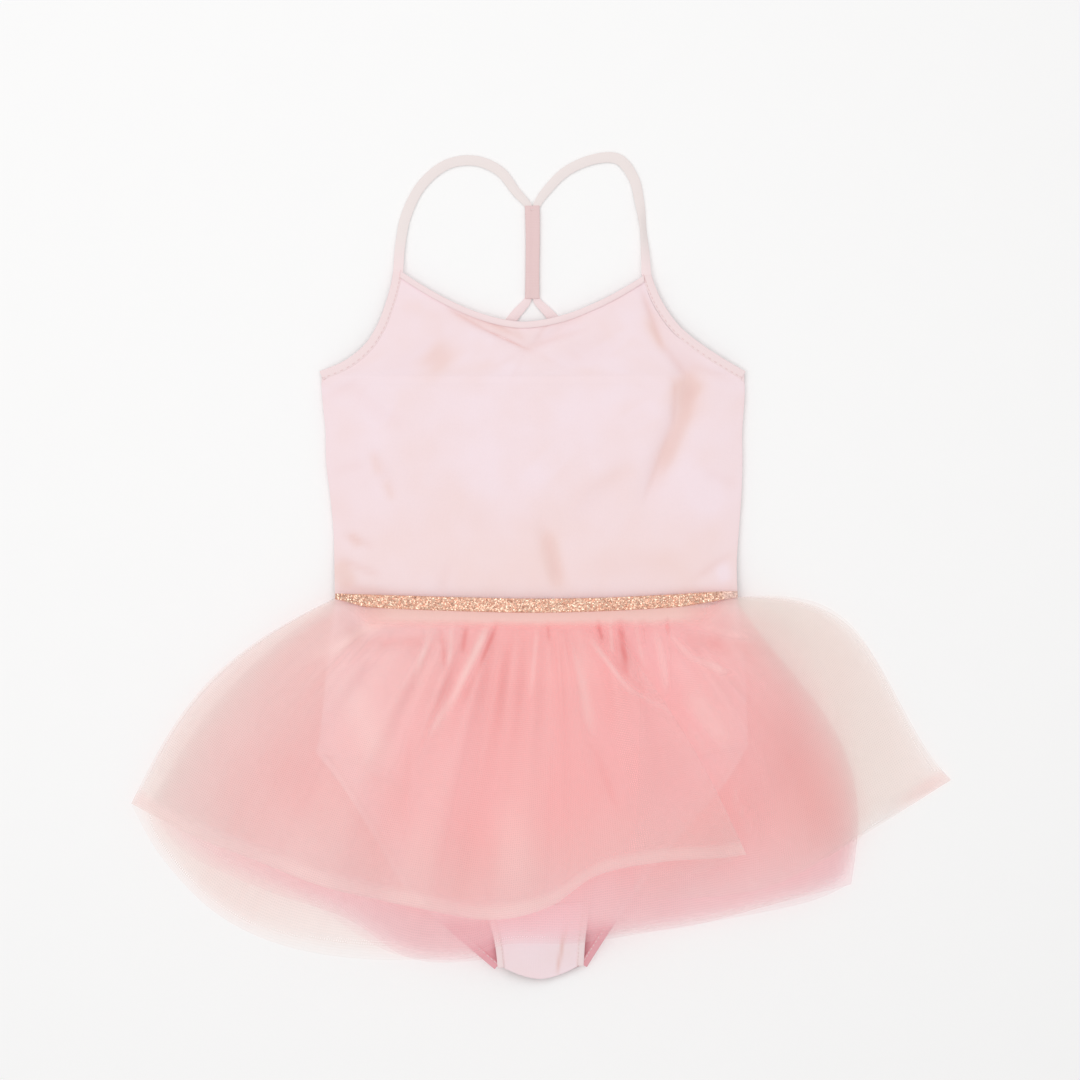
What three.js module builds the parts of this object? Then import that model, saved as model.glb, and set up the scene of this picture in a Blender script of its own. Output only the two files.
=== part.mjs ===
// A child's camisole dance leotard with a gathered tulle skirt, laid flat with its front up.
// Millimetres. X runs across the garment, Y from the crotch to the straps, Z up from the surface it lies on.
// Every piece is a wall of cloth: a grid of points on its underside, and the same grid moved out by its thickness.
// The layers lie on each other from the surface up: top tulle back, under tulle back, back body, front body,
// under tulle front, top tulle front. Each layer's height is worked out from what lies below it.
import * as THREE from "three";

// Cloth
const jersey = 1.2;
const tulle = 1.0;
const tapeEdge = 1.2;
const tapeMiddle = 1.6;
const ribbonCloth = 1.0;
const seamGap = 0.3;

// Body
const waistY = -24.5;
const neckTopY = 188;
const neckDepth = 31;
const neckTilt = 3;
const neckRoundness = 1.7;
const backTopY = 123.2;
const backTopRise = 27;
const crotchSag = 8;
const bodyPuff = 3;
const bodyPuffReach = 42;
const frontOverBack = tapeMiddle + 0.4;

// Tapes
const bindingWidth = 6;
const neckBindingWidth = 3.6;
const legBindingWidth = 5;

// Skirt
const seamY = -27;
const gatherStartY = -38;
const sideSeamY = -18;
const sideStartY = -20;
const sideFrom = 106;
const sideTo = 129;
const waistMiddleX = -3;
const gatherRise = 40;
const skirtLoft = 18;
const skirtEdgeReach = 62;
const flapLoft = 6.5;
const flapEdgeReach = 26;
const hemFallFrom = -170;
const hemFallTo = -252;
const hemLoftShare = 0.34;
const slack = 0.9;
const slackRise = 22;
const ridgeRise = 8;
const ribbonBulk = ribbonCloth + seamGap;
const ribbonGap = 0.45;
const cornerRoom = { underFront: 1, topFront: 2.4 };
const bodyStack = frontOverBack + tapeMiddle + seamGap;

const { clamp, lerp, smoothstep } = THREE.MathUtils;
const point2 = (x, y) => new THREE.Vector2(x, y);

// Rows of the bodice from the underarm to the waist: the height, and where the left and right edges are.
const sideRows = [
  { y: 116.6, left: -140.6, right: 129.8 },
  { y: 105, left: -139.8, right: 129.6 },
  { y: 86, left: -137.9, right: 128.2 },
  { y: 66, left: -137.5, right: 128.3 },
  { y: 45, left: -135, right: 127.7 },
  { y: 22, left: -132.8, right: 126 },
  { y: 0, left: -132.2, right: 124.6 },
  { y: waistY + seamGap / 2, left: -131.8, right: 125.4 },
];

// Rows across the front's armholes, from the straps to the underarm.
const armholeRows = [
  { leftX: -94.7, leftY: 189.5, rightX: 69.8, rightY: 187.5 },
  { leftX: -96.5, leftY: 179, rightX: 73, rightY: 178 },
  { leftX: -100, leftY: 167, rightX: 78.5, rightY: 166.5 },
  { leftX: -105, leftY: 154, rightX: 88, rightY: 153.5 },
  { leftX: -113, leftY: 141.5, rightX: 101, rightY: 142.5 },
  { leftX: -126, leftY: 131, rightX: 117, rightY: 132 },
  { leftX: -142, leftY: 124.2, rightX: 130.6, rightY: 124.2 },
];

// Rows of the brief from the waist to the hips, and then down the leg openings to the crotch.
const hipRows = [
  { leftX: -131.8, leftY: waistY - seamGap / 2, rightX: 125.4, rightY: waistY - seamGap / 2 },
  { leftX: -134, leftY: gatherStartY, rightX: 127, rightY: gatherStartY },
  { leftX: -135, leftY: gatherStartY - 8, rightX: 128, rightY: gatherStartY - 8 },
  { leftX: -136.5, leftY: -62, rightX: 129.2, rightY: -62 },
  { leftX: -138.8, leftY: -86, rightX: 130.6, rightY: -86 },
  { leftX: -141.5, leftY: -112, rightX: 131.2, rightY: -109 },
];
const frontLegRows = [
  { leftX: -144, leftY: -119, rightX: 132, rightY: -115 },
  { leftX: -112, leftY: -128, rightX: 104, rightY: -121 },
  { leftX: -84, leftY: -146, rightX: 76, rightY: -136 },
  { leftX: -60, leftY: -173, rightX: 52, rightY: -163 },
  { leftX: -41, leftY: -205, rightX: 36, rightY: -196 },
  { leftX: -31, leftY: -236, rightX: 29, rightY: -231 },
  { leftX: -28, leftY: -257, rightX: 27, rightY: -256 },
];
const backLegRows = [
  { leftX: -144, leftY: -119, rightX: 132, rightY: -115 },
  { leftX: -127, leftY: -141, rightX: 117, rightY: -139 },
  { leftX: -108, leftY: -171, rightX: 95, rightY: -165 },
  { leftX: -88, leftY: -204, rightX: 70, rightY: -196 },
  { leftX: -61, leftY: -231, rightX: 46, rightY: -230 },
  { leftX: -30, leftY: -258, rightX: 29, rightY: -257 },
];

// Creases of the front bodice: a soft trough from one place to another.
const creases = [
  { fromX: 93, fromY: 134, toX: 94, toY: 96, width: 11, depth: 2.2 },
  { fromX: 93, fromY: 108, toX: 65, toY: 37, width: 10, depth: 2.4 },
  { fromX: 68, fromY: 170, toX: 92, toY: 124, width: 7, depth: 1.2 },
  { fromX: 0, fromY: 24, toX: 12, toY: -14, width: 7, depth: 1.8 },
  { fromX: -108, fromY: 72, toX: -95, toY: 46, width: 6, depth: 1.2 },
  { fromX: 23, fromY: 31, toX: 54, toY: 61, width: 11, depth: 1 },
  { fromX: -96, fromY: 123, toX: -57, toY: 141, width: 12, depth: 1.2 },
  { fromX: 15, fromY: 131, toX: 47, toY: 141, width: 12, depth: 1.2 },
  { fromX: -122, fromY: 112, toX: -88, toY: 86, width: 9, depth: 1 },
  { fromX: -55, fromY: 162, toX: -8, toY: 139, width: 6, depth: 1.5 },
  { fromX: 25, fromY: 159, toX: -8, toY: 139, width: 6, depth: 1.4 },
];

// How far each layer spreads at each height, which says where the layers above it are lifted.
const topSkirtReach = [
  { y: -14, left: -128, right: 128 },
  { y: -19, left: -136, right: 158 },
  { y: -28, left: -150, right: 184 },
  { y: -48, left: -182, right: 208 },
  { y: -76, left: -215, right: 227 },
  { y: -105, left: -239, right: 246 },
  { y: -134, left: -257, right: 262 },
  { y: -153, left: -263, right: 231 },
  { y: -181, left: -241, right: 204 },
  { y: -211, left: -221, right: 184 },
  { y: -230, left: -194, right: 112 },
  { y: -243, left: -160, right: 0 },
  { y: -256, left: -50, right: -50 },
];
const underSkirtReach = [
  { y: -22, left: -131, right: 124 },
  { y: -45, left: -166, right: 149 },
  { y: -75, left: -203, right: 172 },
  { y: -105, left: -228, right: 190 },
  { y: -135, left: -246, right: 200 },
  { y: -158, left: -250, right: 205 },
  { y: -180, left: -236, right: 203 },
  { y: -205, left: -195, right: 190 },
  { y: -230, left: -122, right: 112 },
  { y: -256, left: -45, right: -25 },
];
const briefReach = [
  { y: -22, left: -132, right: 126 },
  { y: -84, left: -139, right: 131 },
  { y: -117, left: -145, right: 133 },
  { y: -141, left: -128, right: 118 },
  { y: -171, left: -108, right: 96 },
  { y: -204, left: -89, right: 68 },
  { y: -231, left: -62, right: 46 },
  { y: -258, left: -31, right: 30 },
];

// Skirt layers. A row is a line of the cloth from the waist seam to the hem, and across is its share of the layer's
// width. bulge is how far the line bows towards +X, and peak the share of its length where it bows most. Where the
// cloth folds back on itself, turn is how far it stands over the part below, and calm damps the gathers there.
const topFrontRows = [
  { across: 0, waistX: -131, hemX: -262, hemY: -152, bulge: -20, peak: 0.5 },
  { across: 0.08, waistX: -116, hemX: -222, hemY: -172, bulge: -12, peak: 0.5 },
  { across: 0.17, waistX: -88, hemX: -178, hemY: -189, bulge: -8, peak: 0.5 },
  { across: 0.26, waistX: -62, hemX: -132, hemY: -206, bulge: -4, peak: 0.5 },
  { across: 0.35, waistX: -37, hemX: -84, hemY: -216, bulge: -2, peak: 0.5 },
  { across: 0.44, waistX: -14, hemX: -36, hemY: -225, bulge: 0, peak: 0.5 },
  { across: 0.51, waistX: 4, hemX: 4, hemY: -217, bulge: 2, peak: 0.5, turn: 2, calm: 0.9 },
  { across: 0.57, waistX: 16, hemX: 36, hemY: -196, bulge: 4, peak: 0.5, turn: 7, calm: 0.6 },
  { across: 0.62, waistX: 27, hemX: 78, hemY: -187, bulge: 6, peak: 0.5, turn: 12.4, calm: 0.3 },
  { across: 0.66, waistX: 34, hemX: 112, hemY: -185, bulge: 7, peak: 0.5, turn: 13.4, calm: 0 },
  { across: 0.69, waistX: 39, hemX: 128, hemY: -183, bulge: 7, peak: 0.5, turn: 12.2, calm: 0 },
  { across: 0.72, waistX: 44, hemX: 127, hemY: -184, bulge: 6, peak: 0.5, turn: 10.8, calm: 0 },
  { across: 0.75, waistX: 49, hemX: 108, hemY: -192, bulge: 5, peak: 0.5, turn: 9.2, calm: 0 },
  { across: 0.78, waistX: 54, hemX: 82, hemY: -200, bulge: 4, peak: 0.5, turn: 7.4, calm: 0 },
  { across: 0.81, waistX: 60, hemX: 63, hemY: -206, bulge: 2, peak: 0.5, turn: 5, calm: 0 },
  { across: 0.84, waistX: 67, hemX: 60, hemY: -210, bulge: 0, peak: 0.5, turn: 1.6, calm: 0 },
  { across: 0.88, waistX: 79, hemX: 86, hemY: -212, bulge: 4, peak: 0.5, turn: 0, calm: 0 },
  { across: 0.92, waistX: 98, hemX: 146, hemY: -204, bulge: 16, peak: 0.4, turn: 0, calm: 0.5 },
  { across: 0.96, waistX: 118, hemX: 212, hemY: -168, bulge: 25, peak: 0.36, turn: 0, calm: 0.6 },
  { across: 1, waistX: 125.5, hemX: 262, hemY: -137, bulge: 32, peak: 0.36, turn: 0, calm: 1 },
];
const topBackRows = [
  { across: 0, waistX: -131, hemX: -262, hemY: -154, bulge: -20, peak: 0.5 },
  { across: 0.08, waistX: -118, hemX: -243, hemY: -187, bulge: -12, peak: 0.5 },
  { across: 0.17, waistX: -96, hemX: -209, hemY: -222, bulge: -8, peak: 0.5 },
  { across: 0.27, waistX: -70, hemX: -166, hemY: -243, bulge: -5, peak: 0.5 },
  { across: 0.38, waistX: -42, hemX: -112, hemY: -252, bulge: -3, peak: 0.5 },
  { across: 0.48, waistX: -18, hemX: -56, hemY: -250, bulge: 0, peak: 0.5 },
  { across: 0.58, waistX: 8, hemX: 6, hemY: -240, bulge: 3, peak: 0.5 },
  { across: 0.68, waistX: 36, hemX: 72, hemY: -232, bulge: 8, peak: 0.5 },
  { across: 0.78, waistX: 66, hemX: 136, hemY: -220, bulge: 16, peak: 0.42 },
  { across: 0.87, waistX: 98, hemX: 186, hemY: -202, bulge: 27, peak: 0.36 },
  { across: 0.94, waistX: 118, hemX: 212, hemY: -165, bulge: 30, peak: 0.34 },
  { across: 1, waistX: 125.5, hemX: 262, hemY: -138, bulge: 34, peak: 0.34 },
];
const underFrontRows = [
  { across: 0, waistX: -130, hemX: -250, hemY: -150, bulge: -12, peak: 0.5 },
  { across: 0.12, waistX: -100, hemX: -206, hemY: -168, bulge: -10, peak: 0.5 },
  { across: 0.26, waistX: -66, hemX: -148, hemY: -190, bulge: -6, peak: 0.5 },
  { across: 0.4, waistX: -32, hemX: -82, hemY: -206, bulge: -2, peak: 0.5 },
  { across: 0.53, waistX: 2, hemX: -18, hemY: -212, bulge: 0, peak: 0.5 },
  { across: 0.66, waistX: 34, hemX: 52, hemY: -208, bulge: 6, peak: 0.5 },
  { across: 0.8, waistX: 70, hemX: 122, hemY: -206, bulge: 16, peak: 0.56 },
  { across: 0.91, waistX: 100, hemX: 172, hemY: -204, bulge: 24, peak: 0.6 },
  { across: 1, waistX: 124, hemX: 198, hemY: -200, bulge: 28, peak: 0.6 },
];
const underBackRows = [
  { across: 0, waistX: -130, hemX: -250, hemY: -152, bulge: -12, peak: 0.5 },
  { across: 0.1, waistX: -106, hemX: -230, hemY: -182, bulge: -10, peak: 0.5 },
  { across: 0.2, waistX: -80, hemX: -180, hemY: -206, bulge: -8, peak: 0.5 },
  { across: 0.32, waistX: -52, hemX: -124, hemY: -226, bulge: -4, peak: 0.5 },
  { across: 0.42, waistX: -28, hemX: -84, hemY: -251, bulge: -2, peak: 0.5 },
  { across: 0.52, waistX: -2, hemX: -38, hemY: -252, bulge: 0, peak: 0.5 },
  { across: 0.64, waistX: 28, hemX: 30, hemY: -238, bulge: 6, peak: 0.5 },
  { across: 0.76, waistX: 60, hemX: 92, hemY: -231, bulge: 14, peak: 0.56 },
  { across: 0.88, waistX: 92, hemX: 154, hemY: -215, bulge: 22, peak: 0.6 },
  { across: 1, waistX: 124, hemX: 198, hemY: -204, bulge: 28, peak: 0.6 },
];

// Ridges of the top layer's gathers: the place along the waist, and how far down the skirt each one runs.
const ridges = [
  { x: -113, width: 7, height: 2.2, reach: 0.5 },
  { x: -92, width: 8, height: 1.8, reach: 0.35 },
  { x: -66, width: 6, height: 3, reach: 0.55 },
  { x: -51, width: 6, height: 2.6, reach: 0.45 },
  { x: -34, width: 7, height: 3.2, reach: 0.6 },
  { x: -15, width: 6, height: 2, reach: 0.35 },
  { x: -2, width: 5, height: 2.4, reach: 0.5 },
  { x: 12, width: 6, height: 2.6, reach: 0.45 },
  { x: 28, width: 8, height: 3.4, reach: 0.8 },
  { x: 47, width: 5, height: 2.4, reach: 0.12 },
  { x: 58, width: 5, height: 2.6, reach: 0.12 },
  { x: 72, width: 6, height: 2.4, reach: 0.14 },
  { x: 90, width: 7, height: 2.2, reach: 0.5 },
  { x: 108, width: 7, height: 2, reach: 0.5 },
];

// The ribbon's upper and lower edge along the waist. It thins where it turns round the sides.
const ribbonRows = [
  { x: -131.5, top: -17.8, bottom: -21.4 },
  { x: -112, top: -18.4, bottom: -26.4 },
  { x: -72, top: -19.6, bottom: -28.4 },
  { x: -10, top: -21, bottom: -30 },
  { x: 40, top: -20.4, bottom: -29 },
  { x: 88, top: -18.2, bottom: -26.4 },
  { x: 112, top: -16.6, bottom: -22.6 },
  { x: 125, top: -16.2, bottom: -20.4 },
];

// Straps: the middle line of each tape from the front corner, over the top, to where the two meet at the back.
// lift is the share of the front's height that the tape still has, and roll is how far it is twisted.
const leftStrapRows = [
  { x: -91.2, y: 190.9, width: 6.2, lift: 1, roll: 0 },
  { x: -90.2, y: 206, width: 6.4, lift: 0.3, roll: 0 },
  { x: -86.2, y: 225, width: 6.6, lift: 0, roll: 0 },
  { x: -76.5, y: 243.5, width: 6.4, lift: 0, roll: 0 },
  { x: -61, y: 256.3, width: 6.4, lift: 0, roll: 0 },
  { x: -43, y: 259, width: 6.4, lift: 0, roll: 0 },
  { x: -27, y: 252.5, width: 6.4, lift: 0, roll: 0 },
  { x: -16.5, y: 239.5, width: 5.8, lift: 0, roll: 0 },
  { x: -9, y: 231, width: 4.8, lift: 0, roll: 0 },
  { x: -8.4, y: 227.2, width: 4.4, lift: 0, roll: 0 },
];
const rightStrapRows = [
  { x: 66.4, y: 188.9, width: 6.2, lift: 1, roll: 0 },
  { x: 66.2, y: 203, width: 5.6, lift: 0.4, roll: 0.5 },
  { x: 65.2, y: 216, width: 5.2, lift: 0, roll: 0.8 },
  { x: 62.8, y: 232, width: 6, lift: 0, roll: 0.2 },
  { x: 58.8, y: 248, width: 6.6, lift: 0, roll: 0 },
  { x: 49, y: 260, width: 6.8, lift: 0, roll: 0 },
  { x: 33, y: 259.8, width: 6.4, lift: 0, roll: 0 },
  { x: 15.5, y: 252, width: 6.2, lift: 0, roll: 0 },
  { x: 3, y: 239.5, width: 5.8, lift: 0, roll: 0 },
  { x: -2.8, y: 231, width: 4.8, lift: 0, roll: 0 },
  { x: -3.4, y: 227.2, width: 4.4, lift: 0, roll: 0 },
];
const centreStrapRows = [
  { x: -5.9, y: 226.2, width: 9.4, lift: 0, roll: 0 },
  { x: -5.6, y: 210, width: 9.2, lift: 0, roll: 0 },
  { x: -5.8, y: 190, width: 9, lift: 0, roll: 0 },
  { x: -5.9, y: 173, width: 9.4, lift: 0, roll: 0 },
];
const leftBranchRows = [
  { x: -8.4, y: 172.1, width: 4.2, lift: 0, roll: 0 },
  { x: -9.6, y: 168.5, width: 5, lift: 0, roll: 0 },
  { x: -15.8, y: 161.5, width: 6.2, lift: 0, roll: 0 },
  { x: -22.5, y: 153, width: 6.4, lift: 0, roll: 0 },
];
const rightBranchRows = [
  { x: -3.3, y: 172.1, width: 4.2, lift: 0, roll: 0 },
  { x: -2.2, y: 168.5, width: 5, lift: 0, roll: 0 },
  { x: 4.6, y: 161.5, width: 6.2, lift: 0, roll: 0 },
  { x: 12.4, y: 152.8, width: 6.4, lift: 0, roll: 0 },
];

// The value of a named column, t of the way down a table, on a smooth curve through its rows.
function smoothColumn(rows, name) {
  const curve = new THREE.SplineCurve(rows.map((row) => point2(row[name], 0)));
  return (t) => curve.getPoint(clamp(t, 0, 1)).x;
}

// The same, where a second column says how far along each row lies.
function columnAlong(rows, key, name) {
  const value = smoothColumn(rows, name);
  const last = rows.length - 1;
  const direction = Math.sign(rows[last][key] - rows[0][key]);
  return (at) => {
    let i = 0;
    while (i < last - 1 && (rows[i + 1][key] - at) * direction < 0) i += 1;
    const share = clamp((at - rows[i][key]) / (rows[i + 1][key] - rows[i][key]), 0, 1);
    return value((i + share) / last);
  };
}

const rail = (rows, x, y) => new THREE.SplineCurve(rows.map((row) => point2(row[x], row[y])));

// The direction to the left of a curve's run.
function leftOf(curve, t) {
  const along = curve.getTangent(clamp(t, 0, 1));
  return point2(-along.y, along.x);
}
const besideRail = (curve, distance) => (t) =>
  curve.getPoint(clamp(t, 0, 1)).addScaledVector(leftOf(curve, t), distance);

// A trough's depth at a point: deepest on its line, fading across its width and towards its ends.
function troughDepth(x, y, { fromX, fromY, toX, toY, width, depth }) {
  const [dx, dy] = [toX - fromX, toY - fromY];
  const along = ((x - fromX) * dx + (y - fromY) * dy) / (dx * dx + dy * dy);
  const across = Math.abs((x - fromX) * dy - (y - fromY) * dx) / Math.hypot(dx, dy);
  const ends = smoothstep(along, -0.25, 0.3) * (1 - smoothstep(along, 0.7, 1.25));
  return depth * ends * Math.exp(-2 * (across / width) ** 2);
}

// How far a point lies inside an outline that is given by its left and right edge at each height.
function insetOf(rows) {
  const left = columnAlong(rows, "y", "left");
  const right = columnAlong(rows, "y", "right");
  return (x, y) => Math.min(x - left(y), right(y) - x);
}
const insideTopSkirt = insetOf(topSkirtReach);
const insideUnderSkirt = insetOf(underSkirtReach);
const insideBrief = insetOf(briefReach);
const insideBodice = insetOf(sideRows);
const quarterRound = (share) => Math.sin((Math.PI / 2) * clamp(share, 0, 1));

// The gathers start on a line below the ribbon, which runs up to it at the sides.
const towardsSide = (x) => smoothstep(Math.abs(x - waistMiddleX), sideFrom, sideTo);
const seamLine = (x) => lerp(seamY, sideSeamY, towardsSide(x));
const gatherLine = (x) => lerp(gatherStartY, sideStartY, towardsSide(x));
const belowGathers = (x, y) => gatherLine(x) - y;

// How much the gathered skirt stands up at a point.
function loft(x, y) {
  const rise = smoothstep(belowGathers(x, y), 0, gatherRise);
  const body = skirtLoft * quarterRound(insideUnderSkirt(x, y) / skirtEdgeReach);
  const flap = flapLoft * quarterRound(insideTopSkirt(x, y) / flapEdgeReach);
  return rise * (body * lerp(hemLoftShare, 1, smoothstep(y, hemFallTo, hemFallFrom)) + flap);
}

// The height of each layer's underside is what is packed below it and its share of the loft.
// room is the share above it that its own gathers fill.
const looseness = (x, y) => slack * smoothstep(belowGathers(x, y), 0, slackRise);
const tulleStep = (x, y) => tulle + seamGap + looseness(x, y);
const skirtBulk = (x, y, atCorner = 0) =>
  (ribbonBulk + atCorner * towardsSide(x)) * (1 - smoothstep(belowGathers(x, y), 0, gatherRise));
const underIsBelow = (x, y) => smoothstep(insideUnderSkirt(x, y), -13, -2);
const bodyIsBelow = (x, y) => (bodyStack + 2 * looseness(x, y)) * smoothstep(insideBrief(x, y), -18, -2);
const layers = {
  topBack: { packed: skirtBulk, share: 0, room: 0.12 },
  underBack: { packed: (x, y) => tulleStep(x, y) + skirtBulk(x, y), share: 0.15, room: 0.12 },
  body: { packed: (x, y) => 2 * tulleStep(x, y) * underIsBelow(x, y) + skirtBulk(x, y), share: 0.31, room: 0 },
  underFront: {
    packed: (x, y) => 2 * tulleStep(x, y) + bodyIsBelow(x, y) + skirtBulk(x, y, cornerRoom.underFront),
    share: 0.37,
    room: 0.26,
  },
  topFront: {
    packed: (x, y) =>
      tulleStep(x, y) * (1 + 2 * underIsBelow(x, y)) + bodyIsBelow(x, y) + skirtBulk(x, y, cornerRoom.topFront),
    share: 0.67,
    room: 0.28,
  },
};
const layerHeight = (layer, x, y) => layer.packed(x, y) + layer.share * loft(x, y);

// The body lies on the surface at the top, and rides up over the skirt's back layers from the waist down.
const bodyRamp = { from: 26, to: -18 };
const waistHeight = layers.body.packed(0, seamY);
function backHeight(x, y) {
  return y > seamY
    ? waistHeight * smoothstep(-y, -bodyRamp.from, -bodyRamp.to) + layers.body.share * loft(x, y)
    : layerHeight(layers.body, x, y);
}
const puffRise = { start: 2, end: 12, waistReach: 30 };
const puffFall = { start: 70, end: 15, share: 0.35 };
function bodicePuff(x, y) {
  const middle = smoothstep(y, waistY, waistY + puffRise.waistReach)
    * (1 - smoothstep(y, neckTopY - puffFall.start, neckTopY - puffFall.end));
  const puff = bodyPuff * quarterRound(insideBodice(x, y) / bodyPuffReach) * lerp(puffFall.share, 1, middle);
  const folded = creases.reduce((height, crease) => height - troughDepth(x, y, crease), puff);
  return Math.max(0, folded) * smoothstep(y, waistY + puffRise.start, waistY + puffRise.end);
}
const frontHeight = (x, y) => backHeight(x, y) + frontOverBack + looseness(x, y) + bodicePuff(x, y);

// A closed wall between a grid of points and the same grid moved out along the cloth's face.
// surface(u, v) gives the underside of the cloth, and thickness(u, v) is how thick it is there.
function clothWall(columns, rows, surface, thickness) {
  const grid = [];
  for (let j = 0; j <= rows; j += 1) {
    for (let i = 0; i <= columns; i += 1) grid.push(surface(i / columns, j / rows));
  }
  const inner = grid.length;
  const id = (i, j) => j * (columns + 1) + i;
  const at = (i, j) => grid[id(clamp(i, 0, columns), clamp(j, 0, rows))];
  const across = new THREE.Vector3();
  const down = new THREE.Vector3();
  const outer = grid.map((p, n) => {
    const [i, j] = [n % (columns + 1), Math.floor(n / (columns + 1))];
    across.subVectors(at(i + 1, j), at(i - 1, j));
    down.subVectors(at(i, j + 1), at(i, j - 1));
    return down.clone().cross(across).setLength(thickness(i / columns, j / rows)).add(p);
  });
  const index = [];
  const quad = (a, b, c, d) => index.push(a, b, c, a, c, d);
  const rim = (a, b) => quad(b, a, inner + a, inner + b);
  for (let j = 0; j < rows; j += 1) {
    for (let i = 0; i < columns; i += 1) {
      const [a, b, c, d] = [id(i, j), id(i, j + 1), id(i + 1, j + 1), id(i + 1, j)];
      quad(a, b, c, d);
      quad(inner + a, inner + d, inner + c, inner + b);
    }
    rim(id(0, j), id(0, j + 1));
    rim(id(columns, j + 1), id(columns, j));
  }
  for (let i = 0; i < columns; i += 1) {
    rim(id(i + 1, 0), id(i, 0));
    rim(id(i, rows), id(i + 1, rows));
  }
  const geometry = new THREE.BufferGeometry().setFromPoints([...outer, ...grid]);
  geometry.setIndex(index);
  geometry.computeVertexNormals();
  return geometry;
}
const even = (thickness) => () => thickness;
const crowned = (share) => lerp(tapeEdge, tapeMiddle, 1 - (2 * share - 1) ** 2);

const finishes = {
  jersey: { color: 0xf3dfe1, roughness: 0.85 },
  tape: { color: 0xefd3d4, roughness: 0.8 },
  glitter: { color: 0xe3ae83, roughness: 0.4, metalness: 0.5 },
  paleTulle: { color: 0xf3dcd6, roughness: 0.9 },
  pinkTulle: { color: 0xf2a9a9, roughness: 0.9 },
};
const leotard = new THREE.Group();
function addPiece(name, finish, geometry) {
  const mesh = new THREE.Mesh(geometry, new THREE.MeshStandardMaterial(finishes[finish]));
  mesh.name = name;
  leotard.add(mesh);
}

// A panel of jersey is cut as rows between a left and a right edge, from the top down. Each section gives the two
// edges as functions of the way through it, its number of rows, and how far a row's points hang below its ends.
function addPanel(name, columns, sections, height, spread = (u) => u) {
  const total = sections.reduce((sum, section) => sum + section.steps, 0);
  const surface = (u, v) => {
    let row = Math.round(v * total);
    let section = sections[0];
    for (let n = 1; n < sections.length && row >= section.steps; n += 1) {
      row -= section.steps;
      section = sections[n];
    }
    const t = row / section.steps;
    const p = section.left(t).lerp(section.right(t), spread(u));
    const y = p.y - section.hang(spread(u), t);
    return new THREE.Vector3(p.x, y, height(p.x, y));
  };
  addPiece(name, "jersey", clothWall(columns, total, surface, even(jersey)));
}

// The edges of a stretch of rows, moved in by the width of the binding that is sewn outside them.
function boundEdges(rows, width, from = 0, to = 1) {
  const left = besideRail(rail(rows, "leftX", "leftY"), width);
  const right = besideRail(rail(rows, "rightX", "rightY"), -width);
  return { left: (t) => left(lerp(from, to, t)), right: (t) => right(lerp(from, to, t)) };
}
const sideLeft = rail(sideRows, "left", "y");
const sideRight = rail(sideRows, "right", "y");
const sideEdges = { left: (t) => sideLeft.getPoint(t), right: (t) => sideRight.getPoint(t) };
const noHang = () => 0;
const archAt = (share) => 1 - Math.abs(2 * share - 1) ** neckRoundness;

// A binding lies outside the panel's edge, along the rail. side is 1 for a right edge and -1 for a left one.
function addBinding(name, rows, side, width, steps, height) {
  const edge = side > 0 ? rail(rows, "rightX", "rightY") : rail(rows, "leftX", "leftY");
  const surface = (u, v) => {
    const p = besideRail(edge, side > 0 ? (u - 1) * width : u * width)(v);
    return new THREE.Vector3(p.x, p.y, height(p.x, p.y));
  };
  addPiece(name, "tape", clothWall(2, steps, surface, crowned));
}

// A band lies across the garment between an upper and a lower edge, given as functions of the way across.
function addBand(name, finish, columns, { x, top, bottom, height, thickness }) {
  const surface = (u, v) => {
    const y = lerp(top(u), bottom(u), v);
    return new THREE.Vector3(x(u), y, height(x(u), y));
  };
  addPiece(name, finish, clothWall(columns, 1, surface, thickness));
}

// A strap follows its middle line. It starts at the height of the front's corner and comes down to the surface.
function addStrap(name, rows, steps) {
  const line = rail(rows, "x", "y");
  const [width, lift, roll] = ["width", "lift", "roll"].map((column) => smoothColumn(rows, column));
  const corner = frontHeight(rows[0].x, rows[0].y);
  const surface = (u, v) => {
    const middle = line.getPoint(v);
    const aside = leftOf(line, v).multiplyScalar((u - 0.5) * width(v) * Math.cos(roll(v)));
    const twist = width(v) * Math.sin(Math.abs(roll(v)));
    const z = Math.max(0, lift(v)) * corner + u * twist;
    return new THREE.Vector3(middle.x + aside.x, middle.y + aside.y, z);
  };
  addPiece(name, "tape", clothWall(2, steps, surface, crowned));
}

// Gathers are small folds that open from the seam, and a few broad flutes that grow towards the hem.
const crest = (turns) => 0.5 - 0.5 * Math.cos(2 * Math.PI * turns);
function gathers(u, s, { small, broad, start }) {
  const wander = 0.3 * Math.sin(2 * Math.PI * (1.7 * u + start));
  const fine = crest(small * u + wander) * (1 - smoothstep(s, 0.1, 0.75));
  const wide = crest(broad * u + start + wander) * smoothstep(s, 0.15, 0.8);
  return fine + wide;
}
function ridgeHeight(waistX, opening, s) {
  const opened = smoothstep(opening, 0, ridgeRise);
  return ridges.reduce((sum, { x, width, height, reach }) => {
    const fade = 1 - smoothstep(s, 0.3 * reach, reach);
    return sum + opened * fade * height * Math.exp(-2 * ((waistX - x) / width) ** 2);
  }, 0);
}

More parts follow.
